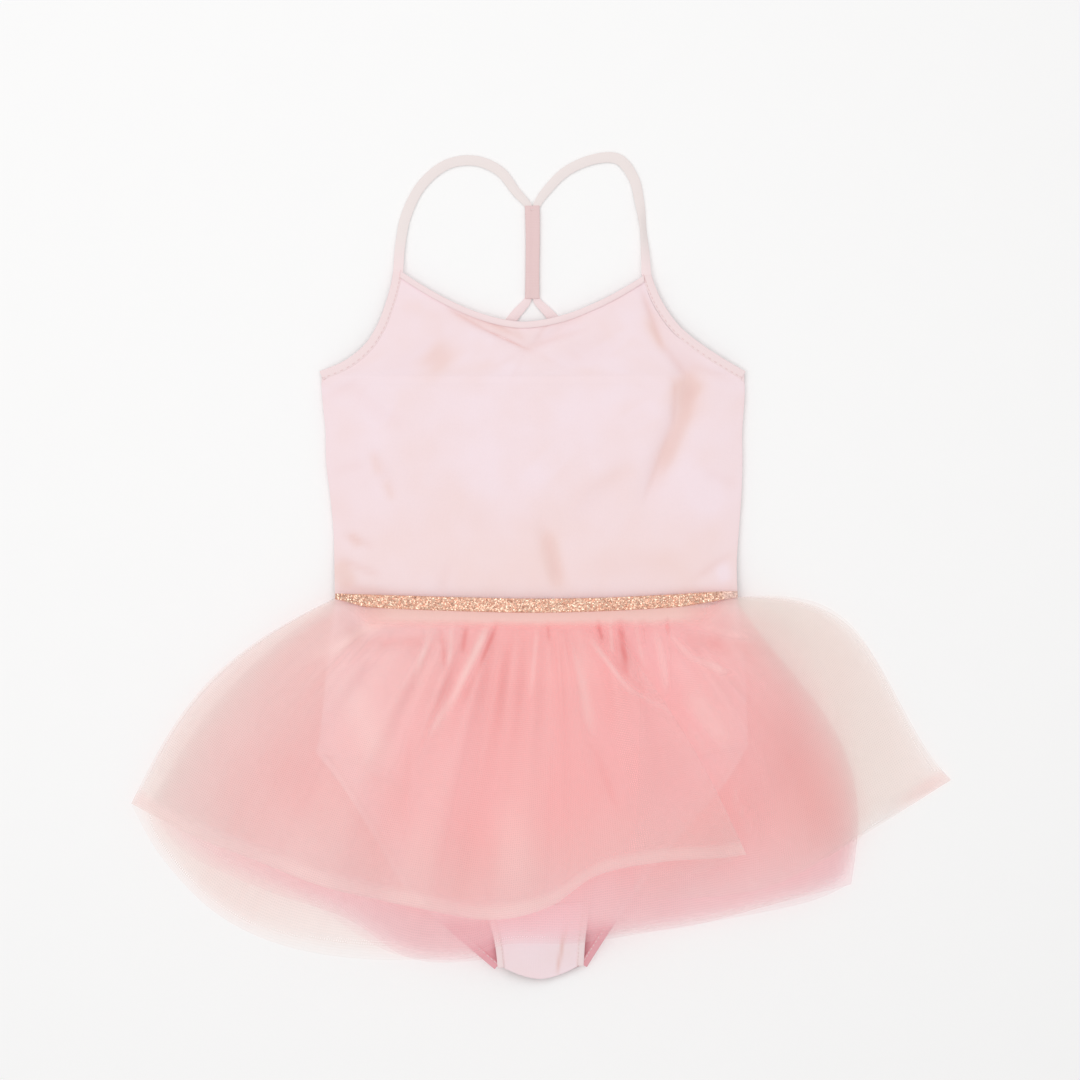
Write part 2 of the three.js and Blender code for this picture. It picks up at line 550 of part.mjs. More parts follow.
// A layer of the skirt starts with a flat header from the waist seam to the line of the gathers, and runs from there
// to its hem along the lines of its table. The first rows are close together, at the same distances in every layer.
// ridged adds the ridges of the gathers.
const openingRows = [0, 8, 18, 32];
const turnedBy = 0.22;
function bowed(s, peak) {
  const power = Math.log(0.5) / Math.log(Math.max(peak, 1 - peak));
  return Math.sin(Math.PI * (peak < 0.5 ? 1 - (1 - s) ** power : s ** power));
}
function shareDown(row, steps, length) {
  const last = openingRows.length - 1;
  if (row <= last) return openingRows[row] / length;
  return lerp(openingRows[last] / length, 1, (row - last) / (steps - 1 - last));
}
function addSkirt(name, finish, rows, layer, { columns, steps, folds, ridged }) {
  const table = rows.map((row) => ({ turn: 0, calm: 1, ...row }));
  const [waistX, hemX, hemY, bulge, peak, turn, calm] =
    ["waistX", "hemX", "hemY", "bulge", "peak", "turn", "calm"].map((column) => columnAlong(table, "across", column));
  const surface = (u, v) => {
    const x = waistX(u);
    const row = Math.round(v * steps) - 1;
    if (row < 0) return new THREE.Vector3(x, seamLine(x), layerHeight(layer, x, seamLine(x)));
    const start = point2(x, gatherLine(x));
    const chord = point2(hemX(u), hemY(u)).sub(start);
    const s = shareDown(row, steps, chord.length());
    const aside = point2(-chord.y, chord.x).normalize();
    const p = start.addScaledVector(chord, s).addScaledVector(aside, bulge(u) * bowed(s, peak(u)));
    const wave = layer.room * loft(p.x, p.y) * gathers(u, s, folds) * clamp(calm(u), 0, 1);
    const ridge = ridged ? ridgeHeight(x, belowGathers(x, p.y), s) : 0;
    const folded = Math.max(0, turn(u)) * smoothstep(s, 0, turnedBy);
    return new THREE.Vector3(p.x, p.y, layerHeight(layer, p.x, p.y) + wave + ridge + folded);
  };
  addPiece(name, finish, clothWall(columns, steps, surface, even(tulle)));
}

// Bodice front, with its neckline cut below the binding, and the bindings round it
const bodiceColumns = 28;
const armholeSteps = 8;
const sideSteps = 10;
const neckY = (u) => neckTopY - neckTilt * u - neckDepth * archAt(u);
const neckEdge = boundEdges(armholeRows, bindingWidth + seamGap);
const cornerY = (u) => lerp(neckEdge.left(0).y, neckEdge.right(0).y, u);
const neckHang = (u, t) => (cornerY(u) - neckY(u) + neckBindingWidth + seamGap) * (1 - t);
addPanel("bodice_front", bodiceColumns, [
  { ...neckEdge, steps: armholeSteps, hang: neckHang },
  { ...sideEdges, steps: sideSteps, hang: noHang },
], frontHeight);
addBand("neck_binding", "tape", bodiceColumns, {
  x: (u) => lerp(neckEdge.left(0).x, neckEdge.right(0).x, u),
  top: neckY,
  bottom: (u) => neckY(u) - neckBindingWidth,
  height: frontHeight,
  thickness: even(tapeMiddle),
});
addBinding("armhole_binding_left", armholeRows, -1, bindingWidth, armholeSteps, frontHeight);
addBinding("armhole_binding_right", armholeRows, 1, bindingWidth, armholeSteps, frontHeight);

// Bodice back, cut low with a rise in the middle that carries the straps
const backColumns = 16;
const backSteps = 10;
const backRise = (u) => backTopRise * (0.5 + 0.5 * Math.cos(Math.PI * (2 * u - 1))) ** 1.3;
const backTop = (u) => backTopY + backRise(u);
const backHang = (u, t) => -backRise(u) * (1 - t) ** 2;
addPanel("bodice_back", backColumns, [{ ...sideEdges, steps: backSteps, hang: backHang }], backHeight);
addBand("back_binding", "tape", backColumns, {
  x: (u) => lerp(sideRows[0].left, sideRows[0].right, u),
  top: backTop,
  bottom: (u) => sideRows[0].y + seamGap + backRise(u),
  height: backHeight,
  thickness: even(tapeMiddle),
});

// Brief: the front ends at the gusset, the back runs to the crotch
const briefColumns = 16;
const closerAtSides = (u) => 0.5 - 0.5 * Math.cos(Math.PI * u);
const hipSteps = 10;
const legSteps = 12;
const gussetSteps = 3;
const gussetFrom = 1 - gussetSteps / legSteps;
const seamShare = 0.008;
const hipEdges = boundEdges(hipRows, 0);
const legInset = legBindingWidth + 2 * seamGap;
const crotchHang = (u, t) => crotchSag * archAt(u) * t ** 2;
addPanel("brief_front", briefColumns, [
  { ...hipEdges, steps: hipSteps, hang: noHang },
  { ...boundEdges(frontLegRows, legInset, 0, gussetFrom), steps: legSteps - gussetSteps, hang: noHang },
], frontHeight, closerAtSides);
addPanel("gusset", briefColumns, [
  { ...boundEdges(frontLegRows, legInset, gussetFrom + seamShare, 1), steps: gussetSteps, hang: crotchHang },
], frontHeight, closerAtSides);
addPanel("brief_back", briefColumns, [
  { ...hipEdges, steps: hipSteps, hang: noHang },
  { ...boundEdges(backLegRows, legInset), steps: legSteps, hang: crotchHang },
], backHeight, closerAtSides);
addBinding("leg_binding_front_left", frontLegRows, -1, legBindingWidth, legSteps, frontHeight);
addBinding("leg_binding_front_right", frontLegRows, 1, legBindingWidth, legSteps, frontHeight);
addBinding("leg_binding_back_left", backLegRows, -1, legBindingWidth, legSteps, backHeight);
addBinding("leg_binding_back_right", backLegRows, 1, legBindingWidth, legSteps, backHeight);

// Straps
addStrap("strap_left", leftStrapRows, 22);
addStrap("strap_right", rightStrapRows, 22);
addStrap("centre_strap", centreStrapRows, 4);
addStrap("branch_left", leftBranchRows, 4);
addStrap("branch_right", rightBranchRows, 4);

// Skirt
addSkirt("top_tulle_back", "paleTulle", topBackRows, layers.topBack, {
  columns: 32, steps: 8, folds: { small: 8, broad: 5, start: 0.2 }, ridged: false,
});
addSkirt("under_tulle_back", "pinkTulle", underBackRows, layers.underBack, {
  columns: 28, steps: 8, folds: { small: 7, broad: 4, start: 0.6 }, ridged: false,
});
addSkirt("under_tulle_front", "pinkTulle", underFrontRows, layers.underFront, {
  columns: 40, steps: 9, folds: { small: 9, broad: 5, start: 0.1 }, ridged: false,
});
addSkirt("top_tulle_front", "paleTulle", topFrontRows, layers.topFront, {
  columns: 76, steps: 12, folds: { small: 12, broad: 6, start: 0.4 }, ridged: true,
});

// The ribbon goes round the waist over the seam, and the band below it covers the gathered edge of the tulle
const bandEndsX = { left: -117, right: 109 };
const waistX = (u) => lerp(ribbonRows[0].x, ribbonRows[ribbonRows.length - 1].x, u);
const bandX = (u) => lerp(bandEndsX.left, bandEndsX.right, u);
const ribbonTop = columnAlong(ribbonRows, "x", "top");
const ribbonBottom = columnAlong(ribbonRows, "x", "bottom");
const onTop = (x) => layers.topFront.packed(x, seamLine(x)) + tulle + ribbonGap;
const waistBands = { front: onTop, back: () => 0 };
for (const [place, height] of Object.entries(waistBands)) {
  addBand(`waist_ribbon_${place}`, "glitter", 20, {
    x: waistX,
    top: (u) => ribbonTop(waistX(u)),
    bottom: (u) => ribbonBottom(waistX(u)),
    height,
    thickness: even(ribbonCloth),
  });
  addBand(`skirt_band_${place}`, "jersey", 20, {
    x: bandX,
    top: (u) => ribbonBottom(bandX(u)) - seamGap,
    bottom: (u) => gatherLine(bandX(u)) + 3 * seamGap,
    height,
    thickness: even(ribbonCloth),
  });
}

// The origin is in the middle of the garment's outline, on the surface it lies on.
const box = new THREE.Box3().setFromObject(leotard);
const middle = box.getCenter(new THREE.Vector3());
leotard.position.set(-middle.x, -middle.y, -box.min.z);

export default leotard;
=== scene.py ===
import math
import random

import bmesh
import bpy
from bpy.props import FloatProperty, FloatVectorProperty, PointerProperty
from mathutils import Matrix, Vector, noise


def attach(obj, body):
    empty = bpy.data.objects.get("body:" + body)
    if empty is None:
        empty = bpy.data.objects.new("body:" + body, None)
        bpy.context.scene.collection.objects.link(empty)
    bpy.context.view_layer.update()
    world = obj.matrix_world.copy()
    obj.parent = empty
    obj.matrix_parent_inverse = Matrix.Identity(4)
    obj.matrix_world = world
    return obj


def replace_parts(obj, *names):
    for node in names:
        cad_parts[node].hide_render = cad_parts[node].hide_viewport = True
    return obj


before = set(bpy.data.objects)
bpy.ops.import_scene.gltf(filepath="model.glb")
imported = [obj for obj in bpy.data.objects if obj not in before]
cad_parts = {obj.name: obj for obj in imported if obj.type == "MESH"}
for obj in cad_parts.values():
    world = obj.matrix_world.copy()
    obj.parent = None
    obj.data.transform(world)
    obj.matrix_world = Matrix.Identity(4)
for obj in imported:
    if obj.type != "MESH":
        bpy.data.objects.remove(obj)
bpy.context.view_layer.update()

bl_info = {
    "name": "Dance leotard",
    "version": (1, 0, 0),
    "blender": (4, 5, 0),
    "location": "View3D > Sidebar > Leotard",
    "description": "A child's camisole leotard with a gathered tulle skirt, laid flat with its front up",
    "category": "Object",
}

# Lengths are in millimetres until a piece is made, and heights are above the surface that it lies on.
# The cloths, their outlines and the heights that they are stacked at are the same as the solids'.
JERSEY = 1.2
TULLE = 1.0
TAPE_EDGE = 1.2
TAPE_CROWN = 0.4
RIBBON_CLOTH = 1.0
SEAM_GAP = 0.3
MM = 0.001
ORIGIN = Vector((-0.2346, 0.123, 0.0))

WAIST_Y = -24.5
NECK_TOP_Y = 188.0
NECK_DEPTH = 31.0
NECK_TILT = 3.0
NECK_ROUNDNESS = 1.7
BACK_TOP_Y = 123.2
BACK_TOP_RISE = 27.0
CROTCH_SAG = 8.0
BODY_PUFF = 3.0
BODY_PUFF_REACH = 42.0
FRONT_OVER_BACK = TAPE_EDGE + TAPE_CROWN + 0.4
BINDING = 6.0
NECK_BINDING = 3.6
LEG_BINDING = 5.0

SEAM_Y = -27.0
GATHER_Y = -38.0
SIDE_SEAM_Y = -18.0
SIDE_GATHER_Y = -20.0
SIDE_FROM = 106.0
SIDE_TO = 129.0
WAIST_MIDDLE_X = -3.0
GATHER_RISE = 40.0
SKIRT_LOFT = 18.0
SKIRT_EDGE = 62.0
FLAP_LOFT = 6.5
FLAP_EDGE = 26.0
HEM_FALL_FROM = -170.0
HEM_FALL_TO = -252.0
HEM_LOFT = 0.34
SLACK = 0.9
SLACK_RISE = 22.0
RIDGE_RISE = 8.0
RIBBON_BULK = RIBBON_CLOTH + SEAM_GAP
RIBBON_GAP = 0.45
BODY_STACK = FRONT_OVER_BACK + TAPE_EDGE + TAPE_CROWN + SEAM_GAP
TURNED_BY = 0.22
SKIRT_LENGTH = 195.0
UNDER_BINDING = 1.2
BINDING_LIFT = 0.5
NECK_LIFT = 0.3
NECK_OVERLAP = 1.8
# The body comes down to the surface between these two, below the hems of the nets that it lies on.
CROTCH_FROM = -222.0
CROTCH_TO = -266.0

EDGE_COLUMNS = "left_x left_y right_x right_y"
# Lines of a skirt layer from the waist to the hem, by their share across it. turn and calm are the
# folded-over flute, depth is how closely the net lies there, and tint how pink it is.
SKIRT_COLUMNS = "across waist_x hem_x hem_y bulge peak turn calm depth tint"
STRAP_COLUMNS = "x y width lift roll"


def table(columns, rows):
    """Rows of numbers as named columns."""
    return dict(zip(columns.split(), map(list, zip(*rows))))


SIDES = table("y left right", [
    (116.6, -140.6, 129.8), (105, -139.8, 129.6), (86, -137.9, 128.2), (66, -137.5, 128.3),
    (45, -135, 127.7), (22, -132.8, 126), (0, -132.2, 124.6), (WAIST_Y + SEAM_GAP / 2, -131.8, 125.4),
])
ARMHOLES = table(EDGE_COLUMNS, [
    (-94.7, 189.5, 69.8, 187.5), (-96.5, 179, 73, 178), (-100, 167, 78.5, 166.5), (-105, 154, 88, 153.5),
    (-113, 141.5, 101, 142.5), (-126, 131, 117, 132), (-142, 124.2, 130.6, 124.2),
])
HIPS = table(EDGE_COLUMNS, [
    (-131.8, WAIST_Y - SEAM_GAP / 2, 125.4, WAIST_Y - SEAM_GAP / 2), (-134, GATHER_Y, 127, GATHER_Y),
    (-135, GATHER_Y - 8, 128, GATHER_Y - 8), (-136.5, -62, 129.2, -62), (-138.8, -86, 130.6, -86),
    (-141.5, -112, 131.2, -109),
])
FRONT_LEGS = table(EDGE_COLUMNS, [
    (-144, -119, 132, -115), (-112, -128, 104, -121), (-84, -146, 76, -136), (-60, -173, 52, -163),
    (-41, -205, 36, -196), (-31, -236, 29, -231), (-28, -257, 27, -256),
])
BACK_LEGS = table(EDGE_COLUMNS, [
    (-144, -119, 132, -115), (-127, -141, 117, -139), (-108, -171, 95, -165), (-88, -204, 70, -196),
    (-61, -231, 46, -230), (-30, -258, 29, -257),
])
# Soft troughs from one place to another: from x, from y, to x, to y, width, depth.
# Creases of the front bodice:
CREASES = [
    (93, 134, 94, 96, 11, 2.2), (93, 108, 68, 45, 10, 2.4), (68, 170, 92, 124, 7, 1.2),
    (0, 24, 12, -14, 7, 1.8), (-108, 72, -95, 46, 6, 1.2), (23, 31, 54, 61, 11, 1),
    (-96, 123, -57, 141, 12, 1.2), (15, 131, 47, 141, 12, 1.2), (-122, 112, -88, 86, 9, 1),
    (-55, 162, -8, 139, 6, 1.5), (25, 159, -8, 139, 6, 1.4),
]
# Small puckers that spread from the pinch of the front, and along the seams:
PUCKERS = [
    (-9, 139, -34, 124, 3, 0.12), (-9, 139, -20, 116, 3, 0.12), (-9, 139, 16, 126, 3, 0.12),
    (-36, 150.5, -10, 138.5, 1.5, 1.2), (-58, 163, -36, 150.5, 2, 0.8), (-44, 162, -16, 147, 2.2, 0.5),
    (-9, 139, 26, 150, 3, 0.4), (-20, 158, -12, 144, 2.6, 0.3), (6, 158, -4, 144, 2.6, 0.35),
    (-130, 4, -104, -6, 4, 0.6), (-128, -14, -96, -18, 5, 0.7), (120, 6, 98, -8, 4, 0.5),
    (-126, 20, -108, 12, 4, 0.5), (112, -16, 84, -18, 4, 0.3), (-60, 2, -64, -18, 6, 0.3),
    (64, 176, 76, 142, 3.4, 0.8), (76, 142, 92, 122, 4, 0.5), (85, 119, 84, 92, 2.6, 0.6),
    (84, 92, 66, 44, 2.6, 0.5), (98, 128, 122, 118, 5, 0.3), (-118, 118, -136, 108, 5, 0.25),
    (104, 60, 124, 52, 6, 0.25), (-132, 60, -112, 66, 6, 0.2),
]
TOP_REACH = table("y left right", [
    (-14, -128, 128), (-19, -136, 158), (-28, -150, 184), (-48, -182, 208), (-76, -215, 227),
    (-105, -239, 246), (-134, -257, 262), (-153, -263, 231), (-181, -241, 204), (-211, -221, 184),
    (-230, -194, 112), (-243, -160, 0), (-256, -50, -50),
])
UNDER_REACH = table("y left right", [
    (-22, -131, 124), (-45, -166, 149), (-75, -203, 172), (-105, -228, 190), (-135, -246, 200),
    (-158, -250, 205), (-180, -236, 203), (-205, -195, 190), (-230, -122, 112), (-256, -45, -25),
])
BRIEF_REACH = table("y left right", [
    (-22, -132, 126), (-84, -139, 131), (-117, -145, 133), (-141, -128, 118), (-171, -108, 96),
    (-204, -89, 68), (-231, -62, 46), (-258, -31, 30),
])
TOP_FRONT = table(SKIRT_COLUMNS, [
    (0, -131, -262, -152, -20, 0.5, 0, 1, 1, 0.3), (0.08, -116, -222, -172, -12, 0.5, 0, 1, 1, 0.5),
    (0.17, -88, -178, -189, -8, 0.5, 0, 1, 1, 0.7), (0.26, -62, -132, -206, -4, 0.5, 0, 1, 1, 0.8),
    (0.35, -37, -84, -216, -2, 0.5, 0, 1, 1, 1), (0.44, -14, -36, -225, 0, 0.5, 0, 1, 1, 1),
    (0.51, 4, 4, -217, 2, 0.5, 2, 0.9, 1, 1), (0.57, 16, 36, -196, 4, 0.5, 7, 0.6, 0.9, 1),
    (0.62, 27, 78, -187, 6, 0.5, 12.4, 0.3, 0.7, 1), (0.66, 34, 112, -185, 7, 0.5, 13.4, 0, 0.5, 1),
    (0.69, 39, 128, -183, 7, 0.5, 12.2, 0, 0.5, 1), (0.72, 44, 127, -184, 6, 0.5, 10.8, 0, 0.3, 1),
    (0.75, 49, 108, -192, 5, 0.5, 9.2, 0, 0.2, 1), (0.78, 54, 82, -200, 4, 0.5, 7.4, 0, 0.12, 1),
    (0.81, 60, 63, -206, 2, 0.5, 5, 0, 0.06, 1), (0.84, 67, 60, -210, 0, 0.5, 1.6, 0, 0.08, 1),
    (0.88, 79, 86, -212, 4, 0.5, 0, 0, 0.35, 0.9), (0.92, 98, 146, -204, 16, 0.4, 0, 0.5, 0.55, 0.6),
    (0.96, 118, 212, -168, 25, 0.36, 0, 0.6, 1, 0.1), (1, 125.5, 262, -137, 32, 0.36, 0, 1, 1, 0),
])
TOP_BACK = table(SKIRT_COLUMNS, [
    (0, -131, -262, -154, -20, 0.5, 0, 1, 1, 0.1), (0.08, -118, -243, -187, -12, 0.5, 0, 1, 1.4, 0.4),
    (0.17, -96, -209, -222, -8, 0.5, 0, 1, 1.5, 0.5), (0.27, -70, -166, -243, -5, 0.5, 0, 1, 1.2, 0.4),
    (0.38, -42, -112, -252, -3, 0.5, 0, 1, 1, 0.4), (0.48, -18, -56, -250, 0, 0.5, 0, 1, 1, 0.6),
    (0.58, 8, 6, -240, 3, 0.5, 0, 1, 1, 0.6), (0.68, 36, 72, -232, 8, 0.5, 0, 1, 1, 0.5),
    (0.78, 66, 136, -220, 16, 0.42, 0, 1, 1, 0.4), (0.87, 98, 186, -202, 27, 0.36, 0, 1, 1, 0.3),
    (0.94, 118, 212, -165, 30, 0.34, 0, 1, 1, 0.1), (1, 125.5, 262, -138, 34, 0.34, 0, 1, 1, 0),
])
UNDER_FRONT = table(SKIRT_COLUMNS, [
    (0, -130, -250, -150, -12, 0.5, 0, 1, 0.2, 0.5), (0.12, -100, -204, -178, -10, 0.5, 0, 1, 0.3, 0.6),
    (0.24, -70, -146, -216, -6, 0.5, 0, 1, 0.5, 0.7), (0.34, -46, -96, -247, -3, 0.5, 0, 1, 0.85, 0.85),
    (0.43, -24, -50, -251, 0, 0.5, 0, 1, 1.1, 0.95), (0.5, -6, -22, -241, 0, 0.5, 0, 1, 1.15, 1),
    (0.58, 14, 18, -241, 2, 0.5, 0, 1, 1.15, 1), (0.64, 30, 48, -237, 5, 0.5, 0, 1, 1.1, 1),
    (0.78, 66, 116, -226, 15, 0.56, 0, 1, 0.85, 0.95), (0.9, 98, 170, -215, 23, 0.6, 0, 1, 0.8, 0.85),
    (1, 124, 198, -203, 28, 0.6, 0, 1, 0.95, 0.7),
])
UNDER_BACK = table(SKIRT_COLUMNS, [
    (0, -130, -250, -152, -12, 0.5, 0, 1, 0.3, 0.2), (0.1, -106, -230, -182, -10, 0.5, 0, 1, 0.5, 0.5),
    (0.2, -80, -180, -206, -8, 0.5, 0, 1, 0.8, 0.8), (0.32, -52, -124, -226, -4, 0.5, 0, 1, 0.9, 0.9),
    (0.42, -28, -84, -251, -2, 0.5, 0, 1, 0.9, 0.9), (0.52, -2, -38, -252, 0, 0.5, 0, 1, 0.8, 1),
    (0.64, 28, 30, -238, 6, 0.5, 0, 1, 0.8, 1), (0.76, 60, 92, -231, 14, 0.56, 0, 1, 1.0, 0.95),
    (0.88, 92, 154, -215, 22, 0.6, 0, 1, 1.0, 0.85), (1, 124, 198, -204, 28, 0.6, 0, 1, 0.9, 0.75),
])
RIDGES = [
    # x at the waist, width, height, share of the skirt's length that it reaches
    (-113, 7, 2.2, 0.5), (-92, 8, 1.8, 0.35), (-66, 6, 3, 0.55), (-51, 6, 2.6, 0.45), (-34, 7, 3.2, 0.6),
    (-15, 6, 2, 0.35), (-2, 5, 2.4, 0.5), (12, 6, 2.6, 0.45), (28, 8, 3.4, 0.8), (47, 5, 2.4, 0.12),
    (58, 5, 2.6, 0.12), (72, 6, 2.4, 0.14), (90, 7, 2.2, 0.5), (108, 7, 2, 0.5),
]
# Folds of the outer net, which also carry its painted shade and highlights: slits where it dips between
# gathers, painted in shade, and pale ridges, painted as highlights, whose depth is below 0:
NET_FOLDS = [
    (-64, -41, -61, -66, 2.5, 0.5), (-48, -39, -50, -55, 3, 0.75), (-29, -39, -39, -63, 2.8, 0.9),
    (-39, -63, -50, -87, 4, 0.5), (-55, -62, -76, -114, 2.6, 0.4), (4, -38, 5, -48, 1.8, 0.7),
    (36, -37, 39, -48, 2.6, 0.95), (50, -37, 54, -66, 4, 1), (65, -39, 66, -50, 1.8, 0.6),
    (80, -36, 81, -45, 1.8, 0.7), (82, -49, 82, -86, 1.6, 0.3), (44, -57, 66, -82, 5, 0.5),
    (66, -82, 96, -103, 6, 0.45), (96, -103, 126, -145, 7, 0.4), (126, -145, 139, -178, 7, 0.35),
    (119, -69, 132, -80, 4, 0.4), (84, -45, 141, -55, 9, 0.35), (-108, -49, -71, -48, 6, 0.3),
    (28, -103, 49, -156, 5, 0.35), (-84, -113, -87, -160, 4, 0.15), (-23, -54, -27, -105, 7, 0.3),
    (146, -86, 185, -182, 26, 0.35), (-94, -30, -140, -57, 6, -0.6), (-71, -39, -79, -73, 3.4, -0.5),
    (-57, -39, -59, -62, 2.6, -0.5), (-35, -39, -54, -80, 4, -0.85), (-54, -80, -71, -107, 4.5, -0.5),
    (-3, -41, -7, -81, 2.6, -0.4), (23, -43, 32, -112, 6, -0.35), (32, -48, 54, -76, 3, -0.7),
    (54, -76, 90, -98, 3.6, -0.55), (90, -98, 119, -135, 4, -0.5), (119, -135, 137, -176, 4, -0.5),
    (44, -37, 45, -55, 2, -0.6), (60, -37, 64, -62, 2.2, -0.55), (72, -38, 81, -80, 4.5, -0.5),
    (81, -43, 95, -58, 3.4, -0.6), (95, -58, 119, -68, 3.6, -0.45), (119, -68, 134, -80, 4, -0.3),
    (100, -39, 133, -46, 3.4, -0.3), (95, -80, 116, -113, 13, -0.45), (-123, -73, -100, -126, 18, -0.4),
    (-27, -150, -14, -201, 20, -0.2), (-193, -99, -155, -188, 22, -0.15),
]
# Stretches of the bodice painted with a warmer shade, or with a cooler painted highlight where the last
# number is below 0:
PAINTED_WARM_SHADE_AND_COOL_LIGHT = [
    (88, 120, 98, 108, 17, 0.85), (97, 108, 76, 58, 9, 0.95), (66, 158, 78, 138, 5, 0.7),
    (-72, 138, -60, 126, 20, 0.75), (-90, 168, -62, 158, 9, 0.3), (-50, 160, -10, 146, 6, 0.5),
    (-26, 156, 26, 160, 7, 0.45), (4, 20, 10, -12, 7, 0.7), (-108, 72, -104, 58, 5, 0.45),
    (-100, 54, -95, 42, 5, 0.45), (-122, 20, -116, 12, 5, 0.4), (-130, 0, -122, -12, 7, 0.7),
    (20, 44, 58, 64, 11, 0.35), (-60, 60, -30, 20, 20, 0.25), (30, 0, 90, 4, 16, 0.25),
    (40, 142, 44, 136, 20, -0.6), (-112, 108, -96, 100, 16, -0.5), (0, 70, 10, 60, 26, -0.35),
    (114, 2, 118, -10, 7, -0.7), (60, 100, 66, 90, 18, -0.4), (100, 60, 110, 30, 14, -0.4),
]
# A painted shadow along the fold beside the gusset's right binding:
GUSSET_FOLD_SHADOW = [(15, -232, 10, -260, 1.8, 1.0)]
RIBBON = table("x top bottom", [
    (-131.5, -17.8, -21.4), (-112, -18.4, -26.4), (-72, -19.6, -28.4), (-10, -21, -30), (40, -20.4, -29),
    (88, -18.2, -26.4), (112, -16.6, -22.6), (125, -16.2, -20.4),
])
STRAPS = {
    "strap_left": table(STRAP_COLUMNS, [
        (-91.6, 187.6, 6.2, 1.18, 0), (-90.2, 206, 6.4, 0.3, 0), (-86.2, 225, 6.6, 0, 0),
        (-76.5, 243.5, 6.4, 0, 0), (-61, 256.3, 6.4, 0, 0), (-43, 259, 6.4, 0, 0), (-27, 252.5, 6.4, 0, 0),
        (-16.5, 239.5, 5.8, 0, 0), (-9, 231, 4.8, 0, 0), (-8.4, 227.2, 4.4, 0, 0),
    ]),
    "strap_right": table(STRAP_COLUMNS, [
        (67.0, 185.6, 6.2, 1.18, 0), (66.2, 203, 5.6, 0.4, 0.5), (65.2, 216, 5.2, 0, 0.8),
        (62.8, 232, 6, 0, 0.2), (58.8, 248, 6.6, 0, 0), (49, 260, 6.8, 0, 0), (33, 259.8, 6.4, 0, 0),
        (15.5, 252, 6.2, 0, 0), (3, 239.5, 5.8, 0, 0), (-2.8, 231, 4.8, 0, 0), (-3.4, 227.2, 4.4, 0, 0),
    ]),
    "centre_strap": table(STRAP_COLUMNS, [
        (-5.9, 230.2, 9.6, 0, 0), (-5.6, 210, 9.2, 0, 0), (-5.8, 190, 9, 0, 0), (-5.9, 170.6, 9.4, 0, 0),
    ]),
    "branch_left": table(STRAP_COLUMNS, [
        (-8.4, 172.1, 4.2, 0, 0), (-9.6, 168.5, 5, 0, 0), (-15.8, 161.5, 6.2, 0, 0), (-22.5, 153, 6.4, 0, 0),
    ]),
    "branch_right": table(STRAP_COLUMNS, [
        (-3.3, 172.1, 4.2, 0, 0), (-2.2, 168.5, 5, 0, 0), (4.6, 161.5, 6.2, 0, 0), (12.4, 152.8, 6.4, 0, 0),
    ]),
}


def clamp(value, low=0.0, high=1.0):
    return min(max(value, low), high)


def lerp(a, b, share):
    return a + (b - a) * share


def smoothstep(value, low, high):
    share = clamp((value - low) / (high - low))
    return share * share * (3 - 2 * share)


def quarter_round(share):
    return math.sin(math.pi / 2 * clamp(share))


def on_curve(values, t):
    """The value a share t of the way along a smooth curve through the values."""
    last = len(values) - 1
    place = clamp(t) * last
    i = min(int(place), last)
    w = place - i
    before, here = values[max(i - 1, 0)], values[i]
    after, later = values[min(i + 1, last)], values[min(i + 2, last)]
    leave, arrive = (after - before) / 2, (later - here) / 2
    cubic = 2 * here - 2 * after + leave + arrive
    square = -3 * here + 3 * after - 2 * leave - arrive
    return ((cubic * w + square) * w + leave) * w + here


def along(rows, key, name, at):
    """The smooth value of one column where another column has the value at."""
    keys = rows[key]
    last = len(keys) - 1
    rising = keys[-1] > keys[0]
    i = 0
    while i < last - 1 and (keys[i + 1] < at if rising else keys[i + 1] > at):
        i += 1
    share = clamp((at - keys[i]) / (keys[i + 1] - keys[i]))
    return on_curve(rows[name], (i + share) / last)


class Rail:
    """A smooth line through a table's points, with the direction to the left of its run."""

    def __init__(self, rows, x, y):
        self.xs, self.ys = rows[x], rows[y]

    def at(self, t):
        return Vector((on_curve(self.xs, t), on_curve(self.ys, t)))

    def run(self, t):
        t = clamp(t)
        return (self.at(min(t + 0.001, 1)) - self.at(max(t - 0.001, 0))).normalized()

    def beside(self, t, distance):
        run = self.run(t)
        return self.at(t) + Vector((-run.y, run.x)) * distance


def relief(folds):
    """The depth of a table of soft troughs at a point. Each is deepest on its line, and fades across its
    width and beyond its ends."""
    ready = []
    for from_x, from_y, to_x, to_y, width, depth in folds:
        length = math.hypot(to_x - from_x, to_y - from_y)
        reach = 2.2 * width + 0.26 * length
        box = (
            min(from_x, to_x) - reach, max(from_x, to_x) + reach,
            min(from_y, to_y) - reach, max(from_y, to_y) + reach)
        run = ((to_x - from_x) / length, (to_y - from_y) / length)
        ready.append((*box, from_x, from_y, *run, length, width, depth))

    def at(x, y):
        total = 0.0
        for left, right, low, high, from_x, from_y, run_x, run_y, length, width, depth in ready:
            if left < x < right and low < y < high:
                across = (x - from_x) * run_y - (y - from_y) * run_x
                share = ((x - from_x) * run_x + (y - from_y) * run_y) / length
                ends = smoothstep(share, -0.25, 0.3) * (1 - smoothstep(share, 0.7, 1.25))
                total += depth * ends * math.exp(-2 * (across / width) ** 2)
        return total
    return at


crease_depth = relief(CREASES)
pucker_depth = relief(PUCKERS)
painted_warm_shade_and_cool_light = relief(PAINTED_WARM_SHADE_AND_COOL_LIGHT)
net_folds = relief(NET_FOLDS)
gusset_fold_shadow = relief(GUSSET_FOLD_SHADOW)


def inset(rows, x, y):
    """How far a point lies inside an outline of left and right edges."""
    return min(x - along(rows, "y", "left", y), along(rows, "y", "right", y) - x)


# The heights of the layers, as the solids have them
def towards_side(x):
    return smoothstep(abs(x - WAIST_MIDDLE_X), SIDE_FROM, SIDE_TO)


def seam_line(x):
    return lerp(SEAM_Y, SIDE_SEAM_Y, towards_side(x))


def gather_line(x):
    return lerp(GATHER_Y, SIDE_GATHER_Y, towards_side(x))


